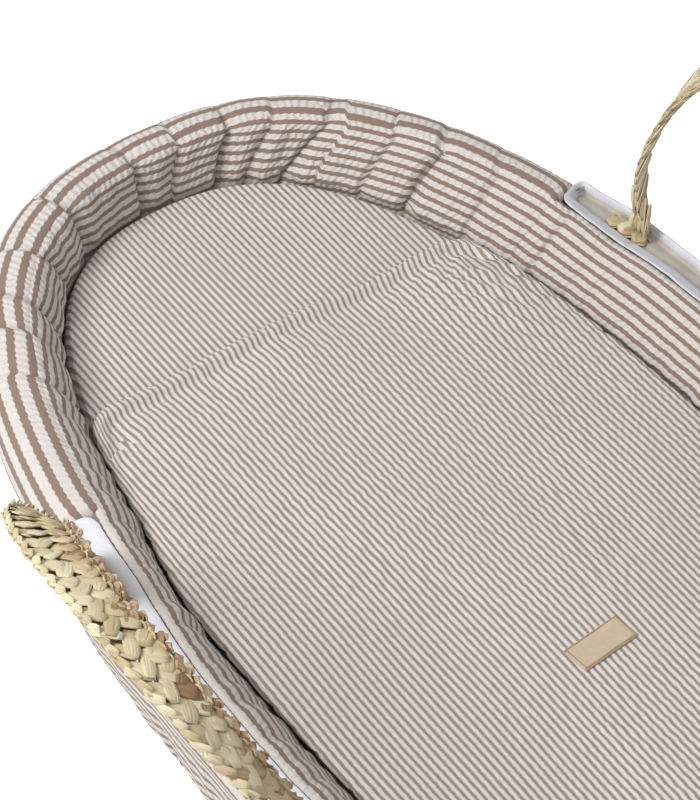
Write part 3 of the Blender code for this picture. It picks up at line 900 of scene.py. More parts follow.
def plait_tree() -> bpy.types.GeometryNodeTree:
    """Geometry Nodes tree that lays a strand on every point, turned as the point says."""
    tree = bpy.data.node_groups.new("Plaited strands", "GeometryNodeTree")
    wanted = [
        ("Places", "Geometry", None),
        ("Strand", "Object", None),
        ("Strand Length", "Float", 0.02),
        ("Strand Width", "Float", 0.011),
        ("Strand Thickness", "Float", 0.002),
        ("Unevenness", "Float", 0.1),
        ("Seed", "Int", 1),
        ("Finish", "Material", None),
    ]
    for label, kind, value in wanted:
        socket = tree.interface.new_socket(label, in_out="INPUT", socket_type=f"NodeSocket{kind}")
        if value is not None:
            socket.default_value = value
    tree.interface.new_socket("Plait", in_out="OUTPUT", socket_type="NodeSocketGeometry")
    wires = Wiring(tree)
    given, out = wires.add("NodeGroupInput"), wires.add("NodeGroupOutput")
    seed = given.outputs["Seed"]
    points = wires.add("GeometryNodeMeshToPoints", {"Mesh": given.outputs["Places"]})
    shade = wires.add("GeometryNodeInputNamedAttribute", {"Name": "shade"}, data_type="FLOAT")
    chance = wires.add("FunctionNodeRandomValue", {"Seed": seed}, data_type="FLOAT")
    tone = wires.sum("MULTIPLY_ADD", chance.outputs[1], 0.8, shade.outputs[0])
    stored = wires.add(
        "GeometryNodeStoreNamedAttribute",
        {"Geometry": points.outputs[0], "Name": "tone", "Value": tone},
        data_type="FLOAT",
        domain="POINT",
    )
    turn = wires.add(
        "GeometryNodeInputNamedAttribute", {"Name": "turn"}, data_type="FLOAT_VECTOR"
    )
    rotation = wires.add("FunctionNodeEulerToRotation", {0: turn.outputs[0]})
    words = ("Length", "Width", "Thickness")
    sizes = wires.vector(*(given.outputs[f"Strand {word}"] for word in words))
    low = wires.sum("SUBTRACT", 1.0, given.outputs["Unevenness"])
    high = wires.sum("ADD", 1.0, given.outputs["Unevenness"])
    other = wires.sum("ADD", seed, 7)
    spread = wires.add(
        "FunctionNodeRandomValue",
        {
            0: wires.vector(low, low, low),
            1: wires.vector(high, high, high),
            "Seed": other,
        },
        data_type="FLOAT_VECTOR",
    )
    scale = wires.add(
        "ShaderNodeVectorMath", {0: sizes, 1: spread.outputs[0]}, operation="MULTIPLY"
    )
    stretch = wires.add(
        "GeometryNodeInputNamedAttribute", {"Name": "stretch"}, data_type="FLOAT_VECTOR"
    )
    scale = wires.add(
        "ShaderNodeVectorMath", {0: scale.outputs[0], 1: stretch.outputs[0]}, operation="MULTIPLY"
    )
    strand = wires.add("GeometryNodeObjectInfo", {"Object": given.outputs["Strand"]})
    laid = wires.add(
        "GeometryNodeInstanceOnPoints",
        {
            "Points": stored.outputs[0],
            "Instance": strand.outputs["Geometry"],
            "Rotation": rotation.outputs[0],
            "Scale": scale.outputs[0],
        },
    )
    real = wires.add("GeometryNodeRealizeInstances", {"Geometry": laid.outputs[0]})
    dressed = wires.add(
        "GeometryNodeSetMaterial",
        {"Geometry": real.outputs[0], "Material": given.outputs["Finish"]},
    )
    tree.links.new(dressed.outputs[0], out.inputs[0])
    return tree


@dataclass
class Plaiter:
    """Lays strands on places with the plaiting tree."""

    tree: bpy.types.GeometryNodeTree
    blade: bpy.types.Object

    def lay(
        self,
        name: str,
        places: "Places",
        size: tuple[float, float, float],
        finish: bpy.types.Material,
        unevenness: float = 0.12,
        seed: int = 1,
    ) -> bpy.types.Object:
        """Lay one strand on each place.

        Args:
            name: Name of the new piece.
            places: Where the strands lie.
            size: Length, width and thickness of a strand.
            finish: Material of the strands.
            unevenness: Share by which the sizes vary.
            seed: Seed of the variation.

        Returns:
            The plait as one plain mesh.
        """
        obj = places.object(name)
        modifier = obj.modifiers.new("Plait", "NODES")
        modifier.node_group = self.tree
        values = dict(
            zip(
                ("Strand Length", "Strand Width", "Strand Thickness", "Unevenness", "Seed"),
                (*size, unevenness, seed),
            )
        )
        values["Strand"] = self.blade
        values["Finish"] = finish
        for item in self.tree.interface.items_tree:
            if item.in_out == "INPUT" and item.name in values:
                modifier[item.identifier] = values[item.name]
        applied(obj)
        obj.data.shade_smooth()
        return obj


@dataclass
class Places:
    """Places of strands: points, directions and shades."""

    points: list[Vector] = field(default_factory=list)
    turns: list[tuple[float, float, float]] = field(default_factory=list)
    shades: list[float] = field(default_factory=list)
    stretches: list[tuple[float, float, float]] = field(default_factory=list)

    def add(
        self,
        point: Vector,
        forward: Vector,
        outward: Vector,
        shade: float = 0.0,
        pitch: float = 0.0,
        stretch: tuple[float, float, float] = (1.0, 1.0, 1.0),
    ) -> None:
        """Add a strand.

        Args:
            point: Middle of the strand.
            forward: Direction along it.
            outward: Direction away from the surface it lies on.
            shade: How much darker it is than the others.
            pitch: Angle by which its front end rises.
            stretch: Share of the plait's usual length, width and thickness.
        """
        x = forward.normalized()
        y = outward.cross(x).normalized()
        z = x.cross(y)
        frame_of = Matrix((x, y, z)).transposed() @ Matrix.Rotation(-pitch, 3, "Y")
        self.points.append(point)
        self.turns.append(tuple(frame_of.to_euler()))
        self.shades.append(shade)
        self.stretches.append(stretch)

    def object(self, name: str) -> bpy.types.Object:
        """Object whose vertices are the places."""
        mesh = bpy.data.meshes.new(name)
        mesh.from_pydata([tuple(p) for p in self.points], [], [])
        turns = mesh.attributes.new("turn", "FLOAT_VECTOR", "POINT")
        turns.data.foreach_set("vector", np.array(self.turns, np.float32).ravel())
        stretches = mesh.attributes.new("stretch", "FLOAT_VECTOR", "POINT")
        stretches.data.foreach_set("vector", np.array(self.stretches, np.float32).ravel())
        shades = mesh.attributes.new("shade", "FLOAT", "POINT")
        shades.data.foreach_set("value", np.array(self.shades, np.float32))
        return link(name, mesh)


# ---------------------------------------------------------------- sub-assemblies


# Upper part of a handle's fixed end, as offsets from the rim and heights.
TAIL_OVER_RIM = [
    (0.0148, 0.1500), (0.0150, 0.1580), (0.0138, 0.1630), (0.0100, 0.1646), (0.0060, 0.1646),
]


@dataclass
class PalmBasket:
    """Wall, base, rim and fixed handle ends, plaited in palm."""

    finishes: Finishes
    plaiter: Plaiter
    rows: int = 4
    columns: int = 3
    strands_around: int = 156

    def build(self) -> list[bpy.types.Object]:
        """Dress the CAD nodes and plait strands over the wall and the handle ends."""
        self.dress_nodes()
        return [self.wall_plait(), self.tail_plaits()]

    def dress_nodes(self) -> None:
        """Give the palm nodes of the frame their finishes."""
        for name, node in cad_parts.items():
            if name == "basket_base":
                finish = self.finishes.coils
            elif name.startswith(("basket_wall", "rim_braid", "handle_tail", "tail_lashing")):
                finish = self.finishes.plain_palm
            else:
                continue
            for slot in node.material_slots:
                slot.material = finish

    def wall_plait(self) -> bpy.types.Object:
        """Rows of chevron plait over the wall's outer face."""
        places = Places()
        angles, _ = RIM.even_angles(self.strands_around)
        step = TAU / self.strands_around
        height_of_row = (WALL_TOP - WALL_BOTTOM) / self.rows
        rng = np.random.default_rng(5)
        for row in range(self.rows):
            for column in range(self.columns):
                height = WALL_BOTTOM + (row + (column + 0.5) / self.columns) * height_of_row
                height = max(height, 0.0082)
                slant = math.radians(40 if (column + row) % 2 else -40)
                for angle in angles:
                    turn = angle + step * (0.5 * (column % 2) + rng.uniform(-0.08, 0.08))
                    at = Vector(RIM.place(wall_face(height) - 0.0004, height, turn))
                    ahead = Vector(RIM.place(wall_face(height), height, turn + 0.01)) - at
                    above = Vector(RIM.place(wall_face(height + 0.01), height + 0.01, turn)) - at
                    ahead.normalize()
                    above.normalize()
                    outward = ahead.cross(above).normalized()
                    forward = ahead * math.cos(slant) + above * math.sin(slant)
                    places.add(at, forward, outward, rng.uniform(0.0, 0.25), 0.06)
        size = (0.0142, 0.0100, 0.0022)
        return self.plaiter.lay("wall_plait", places, size, self.finishes.strand, 0.1, 3)

    def tail_plaits(self) -> bpy.types.Object:
        """Plaited handle ends, from the slot over the rim and down the wall."""
        heights = np.linspace(0.0345, 0.140, 13)
        line = [(float(wall_face(height)) + 0.0035, float(height)) for height in heights]
        line = np.array(line + TAIL_OVER_RIM)
        run = np.concatenate([[0], np.cumsum(np.linalg.norm(np.diff(line, axis=0), axis=1))])
        stations = np.arange(0.0, run[-1], 0.0072)
        places = Places()
        for side in Side:
            shape = HANDLES[side]
            for reach in (-shape.half_span, shape.half_span):
                for at in stations:
                    here_at = [float(np.interp(at, run, part)) for part in line.T]
                    ahead_at = [float(np.interp(at + 0.003, run, part)) for part in line.T]
                    gathered = 1.0 - 0.35 * float(smooth((at - run[-5]) / 0.012))
                    for column in range(4):
                        x = shape.centre + reach + (column - 1.5) * 0.0088 * gathered
                        angle = float(rim_angle(x, side))
                        here = Vector(RIM.place(*here_at, angle))
                        above = (Vector(RIM.place(*ahead_at, angle)) - here).normalized()
                        sideways = Vector((1.0, 0.0, 0.0))
                        outward = sideways.cross(above) * -float(side.value)
                        slant = math.radians(38 if column % 2 else -38)
                        forward = above * math.cos(slant) + sideways * math.sin(slant)
                        shade = 0.08 * column
                        for layer in (0.0, 0.0016):
                            places.add(here + outward * layer, forward, outward, shade, 0.08)
        size = (0.0140, 0.0098, 0.0018)
        obj = self.plaiter.lay("tail_plaits", places, size, self.finishes.strand, 0.1, 8)
        ends = ("head", "foot")
        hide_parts(*(f"handle_tail_{side.word}_{end}" for side in Side for end in ends))
        return obj


@dataclass(frozen=True)
class HandleShape:
    """Arch of a handle, as in the part's source."""

    centre: float
    half_span: float
    slot_centre: float
    lean: float
    height: float
    power: float
    bulge: float
    twist: float
    twist_reach: float
    head_power: float


HANDLES = {
    Side.NEAR: HandleShape(
        centre=0.018,
        half_span=0.136,
        slot_centre=0.027,
        lean=math.radians(26),
        height=0.190,
        power=2.55,
        bulge=0.0,
        twist=math.radians(49),
        twist_reach=0.47,
        head_power=2.05,
    ),
    Side.FAR: HandleShape(
        centre=-0.024,
        half_span=0.152,
        slot_centre=-0.032,
        lean=math.radians(4),
        height=0.203,
        power=2.31,
        bulge=0.040,
        twist=math.radians(62),
        twist_reach=0.12,
        head_power=2.31,
    ),
}


# Columns of blades on each face of a strap: place across, slant in degrees, shade, pitch and
# length as a share. The shade grows towards the strap's inner edge, partly the leaf's own
# brownish tone and partly painted shade on that side.
NEAR_BLADES = [
    (-0.0128, 38, 0.00, 0.0128, 0.84),
    (-0.0046, -33, 0.06, 0.0142, 1.12),
    (0.0030, 40, 0.22, 0.0112, 0.84),
    (0.0093, -42, 0.50, 0.0098, 0.74),
]
FAR_BLADES = [
    (-0.0150, 5, 0.0, 0.016, 1.0),
    (-0.0100, -6, 0.0, 0.017, 1.0),
    (-0.0046, 7, 0.05, 0.016, 1.0),
    (0.0010, -5, 0.0, 0.017, 1.0),
    (0.0062, 6, 0.1, 0.016, 1.0),
    (0.0108, -4, 0.1, 0.017, 1.0),
]


@dataclass
class Handle:
    """Plaited strap in an arch with a twisted cord along one edge."""

    side: Side
    finishes: Finishes
    plaiter: Plaiter
    half_width: float = 0.0182
    shift: float = 0.0035
    cord_radius: float = 0.0029
    stations: int = 500

    @property
    def shape(self) -> HandleShape:
        """Arch of this handle."""
        return HANDLES[self.side]

    @property
    def body(self) -> Body:
        """Body that this handle's pieces ride on."""
        return Body.HANDLE_NEAR if self.side is Side.NEAR else Body.HANDLE_FAR

    def frames(self) -> tuple[np.ndarray, list[tuple[Vector, Vector, Vector, Vector]]]:
        """Distances along the arch, and at each the place and the three directions of the strap."""
        shape, side = self.shape, self.side.value
        roots = [
            RIM.place(0.0115, 0.171, rim_angle(shape.centre + reach, self.side))
            for reach in (-shape.half_span, shape.half_span)
        ]
        middle = Vector((shape.centre, (roots[0][1] + roots[1][1]) / 2, 0.171))
        up = Vector((0.0, side * math.sin(shape.lean), math.cos(shape.lean)))
        inward = Vector((0.0, -side * math.cos(shape.lean), math.sin(shape.lean)))
        turn = np.linspace(0, math.pi, 2001)
        power = shape.head_power + (shape.power - shape.head_power) * smooth((turn - 1.2) / 0.75)
        rise = np.sin(turn).clip(0, 1) ** (2 / power)
        bow = np.sin(math.pi * (1 - (1 - rise) ** 3.2)) * smooth(rise / 0.12)
        along = -np.sign(np.cos(turn)) * np.abs(np.cos(turn)) ** (2 / power)
        along = along * shape.half_span * (1 + shape.bulge * bow)
        line = np.stack([along, rise * shape.height], 1)
        run = np.concatenate([[0], np.cumsum(np.linalg.norm(np.diff(line, axis=0), axis=1))])
        distances = np.linspace(0, run[-1], self.stations)
        line = np.stack([np.interp(distances, run, line[:, k]) for k in (0, 1)], 1)
        tangents = np.gradient(line, axis=0)
        found = []
        for point, tangent, share in zip(line, tangents, distances / run[-1]):
            twist = shape.twist * float(smooth(min(share, 1 - share) / shape.twist_reach))
            t = Vector(tangent).normalized()
            in_plane = Vector((1, 0, 0)) * t.y - up * t.x
            across = in_plane * math.cos(twist) + inward * math.sin(twist)
            forward = Vector((1, 0, 0)) * t.x + up * t.y
            place = middle + Vector((1, 0, 0)) * point[0] + up * point[1]
            found.append((place, across.normalized(), forward.cross(across).normalized(), forward))
        return distances, found

    def index(self, share: float) -> int:
        """Number of the station at a share of the strap's length."""
        return int(np.clip(share * self.stations, 0, self.stations - 1))

    def width_at(self, share: float) -> float:
        """Share of the strap's full width at a share of its length."""
        if self.side is Side.FAR:
            return 0.36 + 0.60 * float(smooth(min(share, 1 - share) / 0.34))
        return 1.0 - 0.22 * float(smooth((share - 0.28) / 0.25))

    def build(self) -> list[bpy.types.Object]:
        """Build the strap and its edge cord, and put them on the handle's body."""
        word = self.side.word
        strap, cord = self.strap(), self.cord()
        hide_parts(f"handle_{word}_strap")
        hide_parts(f"handle_{word}_edge_cord")
        for piece, slot in ((strap, "strap_palm"), (cord, "edge_palm")):
            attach(piece, self.body.value)
        return [strap, cord]

    def strap(self) -> bpy.types.Object:
        """Flat plait of blades in four columns on each face, folded round both edges."""
        distances, frames = self.frames()
        total = distances[-1]
        places = Places()
        rng = np.random.default_rng(11 + self.side.value)
        far = self.side is Side.FAR
        layer = 0.0012 if far else 0.0019
        columns = FAR_BLADES if far else NEAR_BLADES
        for face in (1, -1):
            for number, (reach, slant, shade, pitch, long) in enumerate(columns):
                for at in np.arange(0.002 + pitch * 0.5 * (number % 2), total - 0.001, pitch):
                    jitter = rng.uniform(-0.0006, 0.0006, 2)
                    place, across, through, forward = frames[self.index((at + jitter[0]) / total)]
                    angle = math.radians(slant + rng.uniform(-9, 9) * (0.3 if far else 1.0))
                    along = forward * math.cos(angle) + across * math.sin(angle)
                    narrow = self.width_at(at / total)
                    middle = place + across * (reach * narrow + jitter[1])
                    middle = middle + through * (face * layer)
                    # Darkening of the strand: its column's shade, partly painted shade towards the
                    # inner edge, with a few browner strands and random tone.
                    darkened = shade + (0.15 if rng.uniform() > 0.9 else 0.0)
                    darkened += rng.uniform(-0.12, 0.12)
                    wide = rng.uniform(0.82, 1.12) * (0.3 + 0.7 * narrow)
                    if far and min(at, total - at) < 0.15 * total:
                        long = 0.5
                    pitch_up = 0.03 if far else rng.uniform(0.08, 0.20)
                    places.add(middle, along, through * face, darkened, pitch_up, (long, wide, 1.0))
        edge_scale = (1.0, 0.60, 1.0) if far else (0.66, 0.52, 0.95)
        lower = -self.half_width - self.shift + 0.0036
        upper = self.half_width - self.shift - 0.0022
        edge_pitch = 0.02 if far else 0.05
        for edge, outer in ((-1, lower), (1, upper)):
            for at in np.arange(0.0, total, 0.0075):
                place, across, through, forward = frames[self.index(at / total)]
                narrow = self.width_at(at / total)
                if far and narrow < 0.7:
                    continue
                swing = math.radians(rng.uniform(-4, 4) if far else rng.uniform(22, 44))
                along = forward * math.cos(swing) + through * math.sin(swing)
                # The inner edge's strands are darker, partly browner leaf and partly painted shade
                # on that side.
                shade = 0.05 + 0.35 * (edge > 0) + rng.uniform(-0.1, 0.1)
                middle = place + across * (outer * narrow)
                places.add(middle, along, across * edge, shade, edge_pitch, edge_scale)
        size = (0.0290, 0.0064, 0.0016) if far else (0.0184, 0.0110, 0.0016)
        return self.plaiter.lay(
            f"{self.side.word}_strap_plait", places, size, self.finishes.strand, 0.12, 21
        )

    def cord(self) -> bpy.types.Object:
        """Twisted cord of short strands sewn along the strap's inner edge."""
        distances, frames = self.frames()
        total = distances[-1]
        places = Places()
        rng = np.random.default_rng(31 + self.side.value)
        reach = self.half_width - self.shift - 0.0016 + self.cord_radius
        far = self.side is Side.FAR
        swing = math.radians(5 if far else 46)
        for step, at in enumerate(np.arange(0.004, total - 0.004, 0.0030)):
            place, across, through, forward = frames[self.index(at / total)]
            turn = step * math.radians(137)
            outward = across * math.cos(turn) + through * math.sin(turn)
            sideways = forward.cross(outward).normalized()
            along = forward * math.cos(swing) + sideways * math.sin(swing)
            middle = place + across * (reach * self.width_at(at / total))
            middle = middle + outward * (self.cord_radius - 0.0011)
            places.add(middle, along, outward, rng.uniform(-0.1, 0.35), 0.0 if far else 0.06)
        size = (0.0280, 0.0034, 0.0014) if far else (0.0112, 0.0050, 0.0022)
        finish = self.finishes.strand if far else self.finishes.edging
        return self.plaiter.lay(f"{self.side.word}_edge_twist", places, size, finish, 0.15, 5)


@dataclass
class Tuck:
    """Fold that gathers the bumper: its place at the crest and at the mattress, and its depth."""

    top: float
    bottom: float
    depth: float
    reach: float = 0.011


def head_tucks() -> list[Tuck]:
    """Folds round the head, measured from its middle towards the near side."""
    return [
        Tuck(-0.0520, -0.0560, 0.0100),
        Tuck(-0.0150, -0.0190, 0.0030),
        Tuck(-0.0860, -0.0780, 0.0035),
        Tuck(-0.1250, -0.1050, 0.0075),
        Tuck(-0.1680, -0.1640, 0.0030),
        Tuck(-0.2004, -0.1966, 0.0095),
        Tuck(-0.2404, -0.2467, 0.0035),
        Tuck(-0.3000, -0.3040, 0.0020),
        Tuck(0.0228, 0.0113, 0.0080),
        Tuck(0.0821, 0.0765, 0.0080),
        Tuck(0.1290, 0.1154, 0.0055),
        Tuck(0.1678, 0.1702, 0.0065),
        Tuck(0.1950, 0.1985, 0.0040),
        Tuck(0.2350, 0.2400, 0.0030),
    ]


FOOT_FOLDS = (-0.205, -0.160, -0.118, -0.074, -0.030, 0.020, 0.064, 0.108, 0.152, 0.206)


def foot_tucks() -> list[Tuck]:
    """Folds round the foot, measured from its middle towards the far side."""
    tucks = []
    for number, place in enumerate(FOOT_FOLDS):
        tucks.append(Tuck(place, place * 0.95, (0.0085, 0.0045, 0.0070)[number % 3]))
    return tucks


@dataclass
class Bumper:
    """Padded roll that lines the basket, gathered by tucks round both ends."""

    finishes: Finishes
    steps: int = 900
    panel_swell: float = 0.0014
    stripe_draw: float = 1.34
    dent: float = 0.0030

    def section(self, angles: np.ndarray) -> np.ndarray:
        """Control points of the section at each angle, from the outside over the crest."""
        back = [
            (wall_face(0.0340) - 0.0074, 0.0340),
            (0.0002, 0.1440),
            (0.0015, 0.1530),
            (0.0000, 0.1629),
            (-0.0045, 0.1702),
            (-0.0100, CREST),
            (-0.0150, 0.1702),
        ]
        leg = [(-0.0024, 0.1400), (-0.0032, 0.1300), (-0.0010, 0.0800), (0.0095, 0.0340)]
        pinch = lip_share(angles)
        drawn = (0, 0, 0, 0.0015, 0.0075, 0.0080, 0.0080)
        dent = self.dent * root_share(angles)
        rows = [
            RIM.place(offset + out * pinch, height - part * dent, angles)
            for (offset, height), out, part in zip(back, drawn, (0, 0, 0.2, 0.7, 1.0, 1.0, 0.8))
        ]
        low = [
            BED.place(-inset + out * near_share(angles), height, angles)
            for (inset, height), out in zip(leg, (0.0095, 0.0045, 0.0, 0.0))
        ]
        for share, bulge in ((0.25, 0.0016), (0.5, 0.0018), (0.76, 0.0010)):
            middle = rows[6] * (1 - share) + low[0] * share
            inward = low[0] - rows[6]
            inward[:, 2] = 0.012
            inward /= np.linalg.norm(inward, axis=1, keepdims=True)
            rows.append(middle + inward * bulge)
        rows += low
        return np.stack(rows, 1)

    def build(self) -> bpy.types.Object:
        """Build the bumper and put it on the basket."""
        angles, distances = RIM.even_angles(self.steps)
        total = RIM.table()[1][-1]
        spans = ((0, 3, 7), (3, 9, 27), (9, 11, 8), (11, 14, 9))
        places = np.concatenate([np.linspace(*span)[:-1] for span in spans])
        points = through_points(self.section(angles), places, closed=True)
        runs = np.linalg.norm(np.diff(points, axis=1, append=points[:, :1]), axis=2).mean(0)
        across = np.concatenate([[0], np.cumsum(runs)])
        crest = np.interp(5.0, places, across[:-1])
        across = across - crest
        depth, swell, shift, hold = self.folds(distances, total, across[:-1])
        normals = grid_normals(points, True, True)
        visible = smooth((places - 3.0) / 1.2) * smooth((11.4 - places) / 1.0)
        ripple = 0.0007 * waves(distances, [0.017, 0.023, 0.031, 0.047], 4)[:, None]
        ripple = ripple * (1 + 0.6 * waves(distances, [0.11, 0.19], 9))[:, None]
        face = smooth((places - 5.2) / 1.8)
        opening = slot_share(angles)[:, None]
        closed = (1 - opening) * (1 - face) + face
        moved = (swell - depth) * closed + ripple * (0.3 + visible * face)
        moved = moved * visible
        points = points + normals * moved[..., None]
        sine = np.append(np.sin(angles), 0.0)
        sidewards = np.sign(sine) * np.abs(sine) ** (2 / RIM.power) / 0.9
        draw = self.stripe_draw + (0.50 * smooth(sidewards) - 0.04 * smooth(-sidewards))[:, None]
        drawn = np.where(across > 0, across * draw, across)
        flat = np.stack(np.broadcast_arrays(np.append(distances, total)[:, None], drawn), -1).copy()
        shift = np.concatenate([shift, shift[:1]])
        flat[..., 1] += np.concatenate([shift, shift[:, :1]], 1)
        obj = grid_object("bumper_padding", points, flat, around=True, ring=True)
        free = smooth((places - 4.5) / 1.5) * smooth((10.5 - places) / 1.0)
        held = np.clip(hold + (1 - free), 0, 1)
        Padding(pressure=2.5, most=0.0016, growth=0.012).swell(obj, held.ravel())
        # The tucks' lines are marked for painted shade in the striped finish.
        mark_creases(obj, hold)
        self.dress(obj)
        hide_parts("bumper_pad")
        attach(obj, Body.BASKET.value)
        return obj

    def folds(
        self, distances: np.ndarray, total: float, across: np.ndarray
    ) -> tuple[np.ndarray, np.ndarray, np.ndarray, np.ndarray]:
        """Shape of the folds.

        Args:
            distances: Distance of each row along the rim.
            total: Length of the rim.
            across: Distance of each column from the crest.

        Returns:
            For each grid point the fold's depth, the swell of the panel between two folds, how
            far the stripes are shifted there, and how firmly the fold is sewn down.
        """
        share = np.clip((across + 0.012) / 0.060, 0, 1)[None, :]
        strength = 0.16 + 0.84 * smooth((across + 0.018) / 0.034)[None, :]
        lines = []
        for tucks, middle in ((head_tucks(), total / 2), (foot_tucks(), 0.0)):
            for tuck in tucks:
                lines.append((middle + tuck.top + (tuck.bottom - tuck.top) * share, tuck))
        lines.sort(key=lambda item: float(item[0][0, 0] % total))
        depth = np.zeros((len(distances), len(across)))
        hold = np.zeros_like(depth)
        before = np.full_like(depth, -np.inf)
        after = np.full_like(depth, np.inf)
        panel = np.zeros(depth.shape, int)
        for number, (line, tuck) in enumerate(lines):
            away = (distances[:, None] - line + total / 2) % total - total / 2
            steep = np.where(away > 0, 0.22, 1.5) * tuck.reach
            fall = np.clip(1 - np.abs(away) / steep, 0, 1)
            firm = min(1.0, tuck.depth / 0.007)
            depth = np.maximum(depth, 0.62 * tuck.depth * strength * fall**1.6)
            line_near = np.clip(1 - np.abs(away + 0.0004) / 0.0026, 0, 1)
            hold = np.maximum(hold, firm * line_near * (0.35 + 0.65 * strength))
            weight = min(1.0, tuck.depth / 0.006)
            before = np.where(away >= 0, np.maximum(before, -away / weight), before)
            after = np.where(away < 0, np.minimum(after, -away / weight), after)
            panel = np.where((away >= 0) & (-away / weight >= before - 1e-9), number + 1, panel)
        width = np.minimum(after - before, 0.20)
        share_of = np.clip(-before / np.maximum(after - before, 1e-6), 0, 1)
        bulge = 1 - (2 * share_of - 1) ** 4
        swell = self.panel_swell * bulge * np.clip(width / 0.07, 0.3, 1.0) * (width < 0.19)
        swell += self.panel_swell * 0.35 * (width >= 0.19)
        swell *= strength
        rng = np.random.default_rng(17)
        steps_of = rng.uniform(-0.0034, 0.0034, len(lines) + 1)
        slopes = rng.uniform(-0.003, 0.003, len(lines) + 1)
        gathered = width < 0.12
        shift = (steps_of[panel] + slopes[panel] * (share_of - 0.5)) * gathered
        return depth, swell, shift, hold

    def dress(self, obj: bpy.types.Object) -> None:
        """Give the face its stripes and the back, below the lip, its plain lining."""
        obj.data.materials.clear()
        obj.data.materials.append(self.finishes.bumper)
        obj.data.materials.append(self.finishes.lining)
        flat = np.empty(len(obj.data.loops) * 2, np.float32)
        obj.data.uv_layers["UVMap"].data.foreach_get("uv", flat)
        starts = np.empty(len(obj.data.polygons), np.int32)
        obj.data.polygons.foreach_get("loop_start", starts)
        across = flat.reshape(-1, 2)[starts, 1]
        back = (across < -0.0175) | (across > 0.165)
        obj.data.polygons.foreach_set("material_index", back.astype(np.int32))


# Middle of the skirt's cloth as offsets from the rim and heights: its upper part where the rim
# is closed, open for a handle and drawn together, and its lower part beside and over a tail.
SKIRT_CLOSED = [
    (-0.0140, 0.1700), (-0.0088, 0.1736), (-0.0015, 0.1744), (0.0065, 0.1726),
    (0.0138, 0.1676), (0.0188, 0.1596), (0.0213, 0.1480),
]
SKIRT_OPENED = [
    (0.0221, 0.1650), (0.0222, 0.1628), (0.0223, 0.1608), (0.0224, 0.1588),
    (0.0225, 0.1560), (0.0226, 0.1530), (0.0227, 0.1470),
]
SKIRT_PINCHED = [
    (0.0168, 0.1664), (0.0177, 0.1643), (0.0186, 0.1620), (0.0195, 0.1596),
    (0.0204, 0.1564), (0.0208, 0.1530), (0.0208, 0.1470),
]
SKIRT_FREE = [
    (0.0165, 0.1300), (0.0065, 0.1050), (-0.0030, 0.0800), (-0.0100, 0.0640),
]
SKIRT_OVER_TAIL = [
    (0.0195, 0.1300), (0.0120, 0.1050), (0.0030, 0.0800), (-0.0040, 0.0640),
]
# Lining of a slot: from the skirt's lip downwards, measured from that lip, then inwards.
LINING_DOWN = [(-0.0016, -0.0020), (-0.0022, -0.0040), (-0.0042, -0.0052)]
LINING_INWARD = [(0.0130, 0.1622), (0.0085, 0.1624), (0.0040, 0.1612), (0.0020, 0.1590)]


